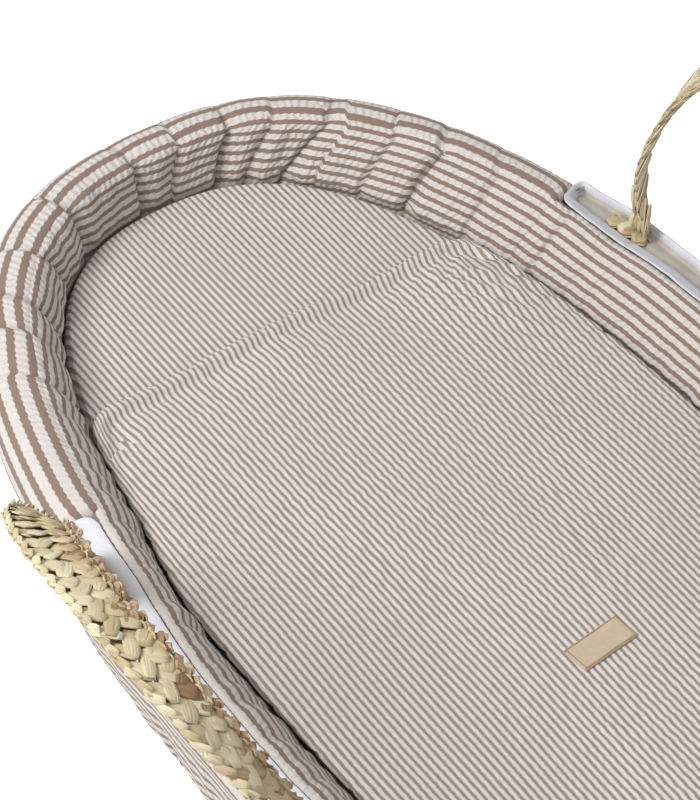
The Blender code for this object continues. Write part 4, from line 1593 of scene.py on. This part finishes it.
@dataclass
class Skirt:
    """Outer cloth over the rim, gathered into a hem and open at two handle slots."""

    finishes: Finishes
    bumper: Bumper
    steps: int = 900
    thickness: float = 0.0012

    def line(self, angles: np.ndarray) -> np.ndarray:
        """Middle of the cloth at each angle, from its upper edge down to its hem, as pairs."""
        opening = slot_share(angles)[:, None, None]
        room = smooth((TAIL_REACH - past_root(angles)) / TAIL_RAMP)[:, None, None]
        top = mixed(SKIRT_CLOSED, SKIRT_OPENED, opening)
        top[..., 0] += 0.0016 * (root_share(angles)[:, None] * opening[..., 0])
        pinch = pinch_share(angles)[:, None, None]
        top = top * (1 - pinch) + np.array(SKIRT_PINCHED)[None] * pinch
        low = mixed(SKIRT_FREE, SKIRT_OVER_TAIL, room)
        low[..., :2, 0] -= np.array([0.0040, 0.0020]) * pinch[..., 0]
        return np.concatenate([top, low], 1)

    def build(self) -> list[bpy.types.Object]:
        """Build the skirt, its gathered hem and the lining of its slots."""
        angles, distances = RIM.even_angles(self.steps)
        total = RIM.table()[1][-1]
        line = self.line(angles)
        section = np.concatenate([line, np.zeros_like(line[..., :1])], 2)
        fine = through_points(section, np.linspace(0, line.shape[1] - 1, 34), closed=False)[..., :2]
        slope = np.gradient(fine, axis=1)
        slope /= np.linalg.norm(slope, axis=2, keepdims=True)
        normal = np.stack([-slope[..., 1], slope[..., 0]], 2)
        low = np.clip((0.150 - fine[..., 1]) / 0.086, 0, 1)
        gather = waves(distances, [0.019, 0.027, 0.013], 3)[:, None]
        soft = waves(distances, [0.074, 0.11, 0.051], 6)[:, None]
        fold = 0.0016 * (1 + gather) * low**1.6 + 0.0012 * (1 + soft) * low**0.7
        run = np.linalg.norm(np.diff(fine, axis=1), axis=2)
        down = np.concatenate([np.zeros((len(run), 1)), np.cumsum(run, 1)], 1)
        place = 0.0045 - down.mean(0)
        depth, swell, shift, hold = self.bumper.folds(distances, total, place)
        closed = (1 - slot_share(angles))[:, None] * smooth((place + 0.034) / 0.018)[None]
        fold += (swell - depth) * closed
        middle = fine + normal * fold[..., None]
        half = self.thickness / 2 * np.clip(np.arange(34) / 5, 0.15, 1)[None, :, None]
        outer, inner = middle + normal * half, middle - normal * half
        loop = np.concatenate([inner[:, ::-1], outer], 1)
        points = RIM.place(loop[..., 0], loop[..., 1], angles[:, None])
        down = down[:, -1:] - down - down[:, -1].max() + 0.0045 + shift * closed
        across = np.concatenate([down[:, ::-1], down], 1)
        across = np.concatenate([across, across[:, :1]], 1)
        across = np.concatenate([across, across[:1]], 0)
        along = np.broadcast_to(np.append(distances, total)[:, None], across.shape)
        flat = np.stack([along, across], -1)
        obj = grid_object("skirt_cloth", points, flat, around=True, ring=True)
        hold = hold * closed
        # Where the rim is closed, the tucks' lines are marked for painted shade in the striped
        # finish.
        mark_creases(obj, np.concatenate([hold[:, ::-1], hold], 1))
        face_outwards(obj)
        obj.data.materials.append(self.finishes.skirt)
        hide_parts("outer_skirt")
        self.finish(obj, "skirt_cotton")
        hem = self.hem()
        return [obj, hem, *(self.slot_lining(side) for side in Side)]

    def finish(self, obj: bpy.types.Object, slot: str) -> None:
        """Put a piece on the basket."""
        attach(obj, Body.BASKET.value)

    def hem(self) -> bpy.types.Object:
        """Casing gathered over its elastic."""
        angles, distances = RIM.even_angles(900)
        total = RIM.table()[1][-1]
        middle = -0.0100 + 0.0058 * smooth((TAIL_REACH - past_root(angles)) / TAIL_RAMP)
        turns = -np.arange(10) / 10 * TAU
        pleat = 0.5 + 0.5 * waves(distances, [0.0065, 0.0088, 0.0051], 12)
        radius = 0.0022 + 0.0012 * pleat[:, None]
        offset = middle[:, None] + radius * np.cos(turns)
        height = 0.0605 + radius * 1.25 * np.sin(turns)
        points = RIM.place(offset, height, angles[:, None])
        across = np.append(turns, -TAU) * 0.0028
        flat = np.stack(np.broadcast_arrays(np.append(distances, total)[:, None], across[None]), -1)
        obj = grid_object("hem_gathers", points, flat, around=True, ring=True)
        face_outwards(obj)
        obj.data.materials.append(self.finishes.skirt)
        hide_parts("skirt_hem_casing")
        self.finish(obj, "skirt_cotton")
        return obj

    def slot_lining(self, side: Side) -> bpy.types.Object:
        """Plain lining inside the skirt's lip along a handle slot."""
        shape = HANDLES[side]
        x = shape.slot_centre + np.linspace(-1, 1, 200) * 0.186
        angles = rim_angle(x, side)
        lip = self.line(angles)[:, :1]
        down = np.array(LINING_DOWN)[None] + lip
        inward = np.broadcast_to(np.array(LINING_INWARD)[None], (len(x), 4, 2))
        line = np.concatenate([down, inward], 1)
        section = np.concatenate([line, np.zeros_like(line[..., :1])], 2)
        fine = through_points(section, np.linspace(0, 6, 16), closed=False)[..., :2]
        ripple = 0.0003 * waves(x, [0.02, 0.033], 2)[:, None]
        inner, outer = fine.copy(), fine.copy()
        inner[..., 1] += ripple
        outer[..., 1] += ripple - 0.0008
        loop = np.concatenate([inner[:, ::-1], outer], 1)
        if side is Side.NEAR:
            loop = loop[:, ::-1]
        points = RIM.place(loop[..., 0], loop[..., 1], angles[:, None])
        down = np.linspace(0, 0.024, 16)
        across = np.concatenate([down[::-1], down, down[-1:]])
        flat = np.stack(np.broadcast_arrays(x[:, None], across[None]), -1)
        obj = grid_object(f"slot_lining_{side.word}", points, flat, ring=True)
        close_ends(obj)
        obj.data.materials.append(self.finishes.lining)
        self.finish(obj, "liner_cotton")
        return obj


def mark_creases(obj: bpy.types.Object, depth: np.ndarray) -> None:
    """Store on each vertex how far it lies in a crease, from 0 to 1: the striped finish darkens it
    there as painted shade, and the plain finish greys it as a stitched seam.
    """
    marks = obj.data.attributes.new("crease", "FLOAT", "POINT")
    marks.data.foreach_set("value", depth.astype(np.float32).ravel())


def close_ends(obj: bpy.types.Object) -> None:
    """Fill the open ends of a tube and turn its faces outwards."""
    work = bmesh.new()
    work.from_mesh(obj.data)
    rim_edges = [edge for edge in work.edges if edge.is_boundary]
    bmesh.ops.holes_fill(work, edges=rim_edges, sides=0)
    bmesh.ops.recalc_face_normals(work, faces=work.faces)
    work.to_mesh(obj.data)
    work.free()


# The tape's middle over the bumper's lip and over the skirt's, the last measured from that lip.
TAPE_FAR_LIP = [
    (-0.0078, 0.1744), (-0.0052, 0.1739), (-0.0026, 0.1727), (0.0000, 0.1712),
    (0.0030, 0.1686), (0.0045, 0.1658), (0.0043, 0.1630), (0.0036, 0.1602),
]
TAPE_NEAR_LIP = [
    (-0.0060, 0.1732), (-0.0030, 0.1727), (0.0000, 0.1712), (0.0026, 0.1690),
    (0.0045, 0.1662), (0.0050, 0.1635), (0.0046, 0.1605), (0.0038, 0.1580),
]
TAPE_LEANING_LIP = [
    (0.0018, 0.1736), (0.0048, 0.1730), (0.0076, 0.1714), (0.0098, 0.1696),
    (0.0111, 0.1676), (0.0115, 0.1660), (0.0113, 0.1648), (0.0109, 0.1640),
]
TAPE_OVER_LIP = [
    (0.0018, -0.0085), (0.0020, -0.0055), (0.0019, -0.0020), (0.0012, 0.0008),
    (-0.0004, 0.0014), (-0.0018, 0.0004), (-0.0026, -0.0030), (-0.0028, -0.0075),
]


@dataclass
class SlotTape:
    """White tape folded over both lips of a handle slot, in one loop."""

    side: Side
    finishes: Finishes
    skirt: Skirt
    half_length: float = 0.1815
    thickness: float = 0.0012

    def build(self) -> bpy.types.Object:
        """Build the tape and put it on the basket."""
        shape = HANDLES[self.side]
        x = shape.slot_centre + np.linspace(-1, 1, 150) * self.half_length
        angles = rim_angle(x, self.side)
        on_bumper = TAPE_FAR_LIP if self.side is Side.FAR else TAPE_NEAR_LIP
        pinch = lip_share(angles)[:, None, None]
        lip_line = mixed(on_bumper, TAPE_LEANING_LIP, pinch)
        dent = self.skirt.bumper.dent * root_share(angles)[:, None]
        bumper = RIM.place(lip_line[..., 0], lip_line[..., 1] - dent, angles[:, None])
        lip = self.skirt.line(angles)[:, 0]
        reach = 0.6 if self.side is Side.FAR else 1.0
        over = lip[:, None] + np.array(TAPE_OVER_LIP)[None] * reach
        skirt = RIM.place(over[..., 0], over[..., 1], angles[:, None])
        loops = [bumper]
        for end, direction in ((-1, 1.0), (0, -1.0)):
            one, other = (bumper[end], skirt[end]) if end == -1 else (skirt[end], bumper[end])
            reach = np.linspace(0.0115, 0.0045, 8)[:, None] * np.array([[direction, 0, 0]])
            turns = np.linspace(0, math.pi, 12)[1:-1]
            share = (1 - np.cos(turns)) / 2
            bend = [
                one * (1 - s) + other * s + reach * math.sin(t) ** 0.6
                for s, t in zip(share, turns)
            ]
            loops.append(np.array(bend))
            if end == -1:
                loops.append(skirt[::-1])
        points = np.concatenate(loops)
        wobble = waves(np.arange(len(points)) * 0.0026, [0.031, 0.017, 0.043], 7 + self.side.value)
        points[:, :, 2] += 0.0004 * wobble[:, None]
        normal = grid_normals(points, True, False)
        half = self.thickness / 2
        shell = np.concatenate([points + normal * half, (points - normal * half)[:, ::-1]], 1)
        run = np.linalg.norm(np.diff(points[:, 3], axis=0, append=points[:1, 3]), axis=1)
        along = np.concatenate([[0], np.cumsum(run)])
        across = np.concatenate([np.linspace(0, 0.018, 8), np.linspace(0.018, 0, 8), [0]])
        flat = np.stack(np.broadcast_arrays(along[:, None], across[None]), -1)
        obj = grid_object(f"slot_tape_{self.side.word}", shell, flat, around=True, ring=True)
        face_outwards(obj)
        seams = np.zeros(shell.shape[:2])
        seams[:, 1] = 0.30
        seams[19, :8] = 0.45
        mark_creases(obj, seams)
        subdivided(obj)
        obj.data.materials.clear()
        obj.data.materials.append(self.finishes.tape)
        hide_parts(f"slot_binding_{self.side.word}")
        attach(obj, Body.BASKET.value)
        return obj


@dataclass
class Bed:
    """Foam mattress, its fitted sheet and the padded floor below them."""

    finishes: Finishes
    steps: int = 360
    section: tuple = (
        (0.0400, 0.0275),
        (0.0220, 0.0275),
        (0.0130, 0.0305),
        (0.0100, 0.0400),
        (0.0040, 0.0800),
        (0.0000, 0.1190),
        (0.0006, 0.1296),
        (0.0034, 0.1345),
        (0.0095, 0.1360),
        (0.0600, 0.1366),
    )

    def build(self) -> list[bpy.types.Object]:
        """Build the mattress, the sheet and the floor."""
        return [self.sheet(), self.mattress(), self.floor()]

    def rows(self, sink: float, bottom: bool) -> tuple[np.ndarray, np.ndarray]:
        """Grid over the mattress, with its flat places.

        Args:
            sink: How far the surface lies inside the made-up mattress.
            bottom: Whether the underside is covered too.

        Returns:
            The grid, and the flat places with one more row.
        """
        angles, _ = BED.even_angles(self.steps)
        inset = np.array([p[0] for p in self.section])
        height = np.array([p[1] for p in self.section])
        line = np.stack([inset, height, np.zeros(len(inset))], 1)[None]
        fine = through_points(line, np.linspace(0, 9, 46), closed=False)[0, :, :2]
        slope = np.gradient(fine, axis=0)
        slope /= np.linalg.norm(slope, axis=1, keepdims=True)
        fine = fine + np.stack([slope[:, 1], -slope[:, 0]], 1) * sink
        fuller = 0.0020 * smooth((-np.cos(angles) - 0.55) / 0.4)[:, None]
        side = BED.place(fuller - fine[None, :, 0], fine[None, :, 1], angles[:, None])
        middle = np.array([BED.shift, 0.0, 0.0])
        edge = side[:, -1]
        shares = np.linspace(1, 0.03, 26)[1:]
        crown = []
        for share in shares:
            ring = middle + (edge - middle) * share
            ring[:, 2] = edge[:, 2] + 0.0012 * (1 - share**2)
            crown.append(ring)
        columns = [side, np.stack(crown, 1)]
        if bottom:
            low = side[:, 0]
            under = []
            for share in np.linspace(0.05, 1, 12)[:-1]:
                ring = middle + (low - middle) * share
                ring[:, 2] = low[:, 2]
                under.append(ring)
            columns.insert(0, np.stack(under, 1))
        grid = np.concatenate(columns, 1)
        edge_column = grid.shape[1] - 25 - 20
        plan = grid[..., :2].copy()
        run = np.linalg.norm(np.diff(grid, axis=1), axis=2)
        arms = plan[:, edge_column] - middle[:2]
        arms /= np.linalg.norm(arms, axis=1, keepdims=True)
        beyond = np.cumsum(run[:, :edge_column][:, ::-1], 1)[:, ::-1]
        edge_place = plan[:, edge_column : edge_column + 1]
        plan[:, :edge_column] = edge_place + arms[:, None] * beyond[..., None]
        return grid, np.concatenate([plan, plan[:1]])

    def sheet(self) -> bpy.types.Object:
        """Fitted sheet stretched over the mattress, with a rolled edge underneath."""
        grid, flat = self.rows(0.0, False)
        along = np.arange(self.steps) / self.steps
        soft = 0.0005 * np.sin(TAU * along * 23) + 0.0004 * np.sin(TAU * along * 41 + 1)
        height = grid[..., 2]
        side_share = smooth((height - 0.03) / 0.03) * smooth((0.130 - height) / 0.02)
        grid = grid + grid_normals(grid, True, False) * (soft[:, None] * side_share)[..., None]
        swell = 0.0006 * np.sin(grid[..., 0] * 25 + 1.0) * np.cos(grid[..., 1] * 31)
        grid[..., 2] += swell * smooth((height - 0.130) / 0.004)
        obj = grid_object("fitted_sheet", grid, flat, around=True)
        self.close_crown(obj)
        solidify = obj.modifiers.new("Cloth", "SOLIDIFY")
        solidify.thickness = 0.0009
        solidify.offset = -1
        applied(obj)
        obj.data.materials.clear()
        obj.data.materials.append(self.finishes.bedding)
        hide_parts("mattress_sheet")
        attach(obj, Body.MATTRESS.value)
        return obj

    def close_crown(self, obj: bpy.types.Object) -> None:
        """Fill the small hole in the middle of the crown with flat places that fit it."""
        work = bmesh.new()
        work.from_mesh(obj.data)
        edges = [e for e in work.edges if e.is_boundary and e.verts[0].co.z > 0.1]
        face = bmesh.ops.holes_fill(work, edges=edges, sides=0)["faces"][0]
        layer = work.loops.layers.uv["UVMap"]
        for loop in face.loops:
            loop[layer].uv = loop.vert.co.xy
        work.normal_update()
        if face.normal.z < 0:
            face.normal_flip()
        face.smooth = True
        work.to_mesh(obj.data)
        work.free()

    def mattress(self) -> bpy.types.Object:
        """Foam body of the mattress."""
        grid, flat = self.rows(0.0025, True)
        obj = grid_object("foam_mattress", grid, flat, around=True, poles=True)
        face_outwards(obj)
        obj.data.materials.append(self.finishes.foam)
        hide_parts("mattress_core")
        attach(obj, Body.MATTRESS.value)
        return obj

    def floor(self) -> bpy.types.Object:
        """Quilted floor of the liner."""
        angles, _ = RIM.even_angles(240)
        line = [
            (-0.0420, 0.0106), (-0.0376, 0.0108), (-0.0358, 0.0146), (-0.0364, 0.0210),
            (-0.0392, 0.0246), (-0.0450, 0.0263), (-0.0780, 0.0266),
        ]
        section = np.array([[(*p, 0.0) for p in line]])
        fine = through_points(section, np.linspace(0, 6, 30), closed=False)[0, :, :2]
        side = RIM.place(fine[None, :, 0], fine[None, :, 1], angles[:, None])
        shares = np.linspace(1, 0.04, 18)[1:]
        inner = side[:, -1][:, None] * np.array([1, 1, 0]) * shares[None, :, None]
        inner[..., 2] = side[:, -1:, 2]
        under = side[:, 0][:, None] * np.array([1, 1, 0]) * shares[::-1][None, :, None]
        under[..., 2] = side[:, :1, 2]
        grid = np.concatenate([under, side, inner], 1)
        quilt = np.abs(np.sin(grid[..., 0] * 42) * np.sin(grid[..., 1] * 42))
        top = grid[..., 2] > 0.024
        grid[..., 2] -= 0.0010 * (1 - quilt) * top
        flat = np.concatenate([grid[..., :2], grid[:1, :, :2]])
        obj = grid_object("quilted_floor", grid, flat, around=True, poles=True)
        face_outwards(obj)
        obj.data.materials.append(self.finishes.tape)
        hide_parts("liner_floor")
        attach(obj, Body.BASKET.value)
        return obj


# The duvet's edge as distances inwards and heights, from below to above.
DUVET_EDGE = [
    (0.030, 0.0), (0.016, 0.0001), (0.009, 0.0004), (0.0045, 0.0012), (0.0015, 0.0030),
    (0.0, 0.0054), (0.0010, 0.0080), (0.0032, 0.0095), (0.0058, 0.0101), (0.0090, 0.0103),
    (0.0120, 0.0104), (0.0155, 0.0105), (0.0220, 0.0106), (0.0320, 0.0106),
]


@dataclass
class Duvet:
    """Thin duvet with a rounded edge, and the bare cloth label sewn on it."""

    finishes: Finishes
    plaiter: Plaiter
    head_edge: float = -0.2515
    bottom: float = 0.1372
    inset: float = 0.0035
    thickness: float = 0.0106
    steps: int = 460

    def outline(self) -> np.ndarray:
        """Outline seen from above, evenly spaced, with rounded head corners."""
        angles, _ = BED.even_angles(2400)
        wider = 0.0045 * smooth(-np.sin(angles) / 0.4) + 0.0090 * near_share(angles)
        ring = BED.place(wider - self.inset, 0.0, angles)[:, :2]
        inside = ring[:, 0] > self.head_edge
        first = np.flatnonzero(inside & ~np.roll(inside, 1))[0]
        order = np.roll(ring, -first, 0)[: inside.sum()]
        start, end = order[-1], order[0]
        share = np.linspace(0, 1, 400)[1:-1, None]
        cut = start * (1 - share) + end * share
        across = share[:, 0]
        cut[:, 0] = self.head_edge + 0.0016 * np.sin(across * 9) * np.sin(across * math.pi)
        ring = np.concatenate([order, cut])
        for _ in range(14):
            corner = (np.abs(ring[:, 0] - self.head_edge) < 0.02) & (np.abs(ring[:, 1]) > 0.09)
            soft = (np.roll(ring, 6, 0) + np.roll(ring, -6, 0)) / 2
            ring = np.where(corner[:, None], ring * 0.5 + soft * 0.5, ring)
        run = np.linalg.norm(np.diff(ring, axis=0, append=ring[:1]), axis=1)
        along = np.concatenate([[0], np.cumsum(run)])
        wanted = np.arange(self.steps) * along[-1] / self.steps
        closed = np.concatenate([ring, ring[:1]])
        return np.stack([np.interp(wanted, along, closed[:, k]) for k in (0, 1)], 1)

    def swell(self, x: np.ndarray, y: np.ndarray) -> np.ndarray:
        """Height of the duvet's gentle swells, its far corner's bulge and its near crease."""
        height = 0.0012 * np.sin(x * 21 + 0.6) * np.cos(y * 17 - 0.4)
        height += 0.0006 * np.sin(x * 47 + y * 23) + 0.0004 * np.sin(x * 31 - y * 52 + 2)
        corner = np.exp(-(((x + 0.212) / 0.045) ** 2 + ((y - 0.112) / 0.034) ** 2))
        wrinkles = 0.0014 * np.sin((x - y) * 380) + 0.0008 * np.sin(y * 640 + x * 90)
        height += corner * (0.0065 + wrinkles)
        line = (x + 0.215) * 0.89 + (y + 0.146) * 0.46
        reach = (y + 0.146) * 0.89 - (x + 0.215) * 0.46
        crease = np.exp(-((line / 0.0040) ** 2)) * smooth((0.032 - np.abs(reach)) / 0.012)
        height += 0.0034 * crease * np.where(line > 0, 1.0, -1.0)
        behind = np.exp(-(((x - self.head_edge - 0.026) / 0.010) ** 2))
        return height - 0.0010 * behind * (1 + np.sin(y * 60))

    def build(self) -> list[bpy.types.Object]:
        """Build the duvet and its label."""
        outline = self.outline()
        middle = np.array([0.06, 0.0])
        arms = outline - middle
        length = np.linalg.norm(arms, axis=1)
        edge = DUVET_EDGE
        ridge = np.array([0] * 6 + [0.0004, 0.0019, 0.0022, 0.0004, -0.0024, -0.0028, -0.0012, 0])
        at_head = smooth((0.030 - np.abs(outline[:, 0] - self.head_edge)) / 0.026)
        columns = []
        for share in np.linspace(0.04, 0.88, 18):
            columns.append((middle + arms * share, np.full(self.steps, 0.0)))
        for inset, height in edge:
            rise = ridge[len(columns) - 18] * at_head
            columns.append((middle + arms * (1 - inset / length)[:, None], height + rise))
        last = (1 - edge[-1][0] / length)[:, None]
        for share in np.linspace(1, 0.02, 64)[1:]:
            columns.append((middle + arms * last * share, np.full(self.steps, self.thickness)))
        grid = np.stack([np.concatenate([p, (self.bottom + h)[:, None]], 1) for p, h in columns], 1)
        plan = grid[..., :2].copy()
        last_edge = 27
        run = np.linalg.norm(np.diff(grid, axis=1), axis=2)[:, 19:last_edge]
        beyond = np.cumsum(run[:, ::-1], 1)[:, ::-1]
        ahead = np.roll(outline, -1, 0) - np.roll(outline, 1, 0)
        ahead /= np.linalg.norm(ahead, axis=1, keepdims=True)
        outward = np.stack([ahead[:, 1], -ahead[:, 0]], 1)
        beyond *= 0.9 + 0.5 * at_head[:, None]
        plan[:, 19:last_edge] = plan[:, last_edge, None] + outward[:, None] * beyond[..., None]
        weight = smooth((np.arange(grid.shape[1]) - 23) / 4)[None]
        grid[..., 2] += self.swell(grid[..., 0], grid[..., 1]) * weight
        flat = np.concatenate([plan, plan[:1]])
        obj = grid_object("filled_duvet", grid, flat, around=True, poles=True)
        face_outwards(obj)
        held = np.tile(np.where(np.arange(grid.shape[1]) < 21, 1.0, 0.35), self.steps)
        held = np.append(held, [1.0, 0.35])
        Padding(pressure=1.2, most=0.0022, growth=0.02).swell(obj, held)
        obj.data.materials.append(self.finishes.bedding)
        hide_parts("duvet")
        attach(obj, Body.DUVET.value)
        return [obj, *self.label(obj)]

    def label(self, duvet: bpy.types.Object) -> list[bpy.types.Object]:
        """Bare label laid on the duvet, with a seam of stitches round it."""
        places = coordinates(duvet.data)
        upper = places[places[:, 2] > self.bottom + 0.006]
        length, width, thick = 0.0186, 0.0400, 0.0009
        cos, sin = math.cos(math.radians(6)), math.sin(math.radians(6))
        centre = np.array([0.0630, -0.0010])

        def ground(points: np.ndarray) -> np.ndarray:
            """Height of the duvet below each point."""
            away = np.linalg.norm(upper[None, :, :2] - points[:, None], axis=2)
            nearest = np.argpartition(away, 6, axis=1)[:, :6]
            return upper[nearest, 2].mean(1)

        def on_label(u: np.ndarray, v: np.ndarray) -> np.ndarray:
            """Places on the table for shares of the label's length and width."""
            x, y = u * length / 2, v * width / 2
            return centre + np.stack([x * cos - y * sin, x * sin + y * cos], -1)

        u, v = np.meshgrid(np.linspace(-1, 1, 13), np.linspace(-1, 1, 25), indexing="ij")
        plan = on_label(u, v)
        base = ground(plan.reshape(-1, 2)).reshape(u.shape)
        base = base.mean() + (base - base.mean()) * 0.6 + 0.0004
        rounding = 0.0003 * (np.maximum(np.abs(u), np.abs(v)) > 0.98)
        top = np.dstack([plan, base + thick - rounding])
        low = np.dstack([plan, base])
        grid = np.concatenate([top, low[:, ::-1]], 1)
        flat = np.concatenate([plan, plan[:, ::-1], plan[:, :1]], 1)
        patch = grid_object("label_patch", grid, flat, ring=True)
        close_ends(patch)
        patch.data.materials.append(self.finishes.label)
        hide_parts("duvet_label")
        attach(patch, Body.DUVET.value)
        stitches = Places()
        height = float(base.max()) + thick
        for side in range(4):
            count = 10 if side % 2 else 21
            for share in np.linspace(-0.97, 0.97, count):
                long, short = share * 0.90, (-0.90, 0.95, 0.90, -0.95)[side]
                spot = (long, short) if side % 2 else (short, share)
                at = on_label(np.array([spot[0]]), np.array([spot[1]]))[0]
                ahead = Vector((cos, sin, 0)) if side % 2 else Vector((-sin, cos, 0))
                stitches.add(Vector((*at, height)), ahead, Vector((0, 0, 1)))
        seam = self.plaiter.lay(
            "label_stitches", stitches, (0.0017, 0.0005, 0.0004), self.finishes.thread, 0.1, 2
        )
        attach(seam, Body.DUVET.value)
        return [patch, seam]


@dataclass
class Stage:
    """Camera, floor, lamps and world."""

    position: tuple[float, float, float] = (1.01547, -0.85300, 1.68043)
    yaw: float = math.radians(54.58)
    elevation: float = math.radians(46.46)
    roll: float = math.radians(0.80)
    lens: float = 159.525

    def build(self) -> None:
        """Set the whole stage."""
        self.camera()
        self.floor()
        self.lamps()
        self.world()
        bpy.context.scene.view_settings.view_transform = "Standard"

    def camera(self) -> None:
        """Camera at the photograph's viewing angle."""
        back = Vector(
            (
                math.sin(self.yaw) * math.cos(self.elevation),
                -math.cos(self.yaw) * math.cos(self.elevation),
                math.sin(self.elevation),
            )
        )
        right = Vector((math.cos(self.yaw), math.sin(self.yaw), 0.0))
        up = back.cross(right)
        across = right * math.cos(self.roll) + up * math.sin(self.roll)
        above = up * math.cos(self.roll) - right * math.sin(self.roll)
        turn = Matrix((across, above, back)).transposed().to_4x4()
        data = bpy.data.cameras.new("camera")
        data.sensor_width = 36.0
        data.lens = self.lens
        data.clip_start, data.clip_end = 0.05, 50.0
        camera = bpy.data.objects.new("camera", data)
        camera.matrix_world = Matrix.Translation(self.position) @ turn
        bpy.context.scene.collection.objects.link(camera)
        bpy.context.scene.camera = camera

    def floor(self) -> None:
        """Round pale floor that stays white to the camera and keeps a soft shadow."""
        work = bmesh.new()
        bmesh.ops.create_circle(work, cap_ends=True, segments=96, radius=5.0)
        mesh = bpy.data.meshes.new("studio_floor")
        work.to_mesh(mesh)
        work.free()
        floor = link("studio_floor", mesh)
        made, wires, shader = blank_material("studio floor", 0.9)
        shader.inputs["Specular IOR Level"].default_value = 0.0
        place = wires.add("ShaderNodeTexCoord").outputs["Object"]
        grain = wires.noise(place, 300.0)
        tint = wires.between(grain, linear(238, 238, 238), linear(244, 244, 244))
        wires.join(tint, shader, "Base Color")
        path = wires.add("ShaderNodeLightPath")
        seen = wires.sum("MAXIMUM", path.outputs["Is Camera Ray"], path.outputs["Is Glossy Ray"])
        seen = wires.sum("MAXIMUM", seen, path.outputs["Is Transmission Ray"])
        glow = wires.sum("MULTIPLY", seen, 0.55)
        white = wires.add("ShaderNodeEmission", {"Color": (1, 1, 1, 1), "Strength": glow})
        both = wires.add("ShaderNodeAddShader", {0: shader.outputs[0], 1: white.outputs[0]})
        out = wires.tree.nodes["Material Output"]
        wires.join(both.outputs[0], out, 0)
        mesh.materials.append(made)

    def lamps(self) -> None:
        """Soft key and fill lamps."""
        for name, place, size, power in (
            ("key lamp", (-0.5, -1.7, 2.1), 1.0, 56.0),
            ("fill lamp", (1.8, 0.6, 2.2), 2.0, 8.0),
        ):
            data = bpy.data.lights.new(name, "AREA")
            data.size = size
            data.energy = power
            lamp = bpy.data.objects.new(name, data)
            aim = Vector((0.0, 0.0, 0.12)) - Vector(place)
            turn = aim.to_track_quat("-Z", "Y").to_matrix().to_4x4()
            lamp.matrix_world = Matrix.Translation(place) @ turn
            bpy.context.scene.collection.objects.link(lamp)

    def world(self) -> None:
        """Even white surroundings, full white where they are seen."""
        world = bpy.data.worlds.new("studio")
        world.use_nodes = True
        wires = Wiring(world.node_tree)
        background = world.node_tree.nodes["Background"]
        path = wires.add("ShaderNodeLightPath")
        seen = wires.sum("MAXIMUM", path.outputs["Is Camera Ray"], path.outputs["Is Glossy Ray"])
        seen = wires.sum("MAXIMUM", seen, path.outputs["Is Transmission Ray"])
        background.inputs["Color"].default_value = (1, 1, 1, 1)
        wires.join(wires.sum("MULTIPLY_ADD", seen, 0.55, 0.45), background, "Strength")
        bpy.context.scene.world = world


def main() -> None:
    """Build the scene in order and report each piece."""
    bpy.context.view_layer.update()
    Stage().build()
    finishes = Finishes()
    plaiter = Plaiter(plait_tree(), strand_mesh("blade", 6))
    made: list[bpy.types.Object] = []
    for piece in PalmBasket(finishes, plaiter).build():
        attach(piece, Body.BASKET.value)
        made.append(piece)
    for side in Side:
        made += Handle(side, finishes, plaiter).build()
    bumper = Bumper(finishes)
    made.append(bumper.build())
    skirt = Skirt(finishes, bumper)
    made += skirt.build()
    made += [SlotTape(side, finishes, skirt).build() for side in Side]
    made += Bed(finishes).build()
    made += Duvet(finishes, plaiter).build()
    for piece in made:
        LOG.info("%s: %d faces", piece.name, len(piece.data.polygons))


if __name__ == "__main__":
    logging.basicConfig(level=logging.INFO)
    main()
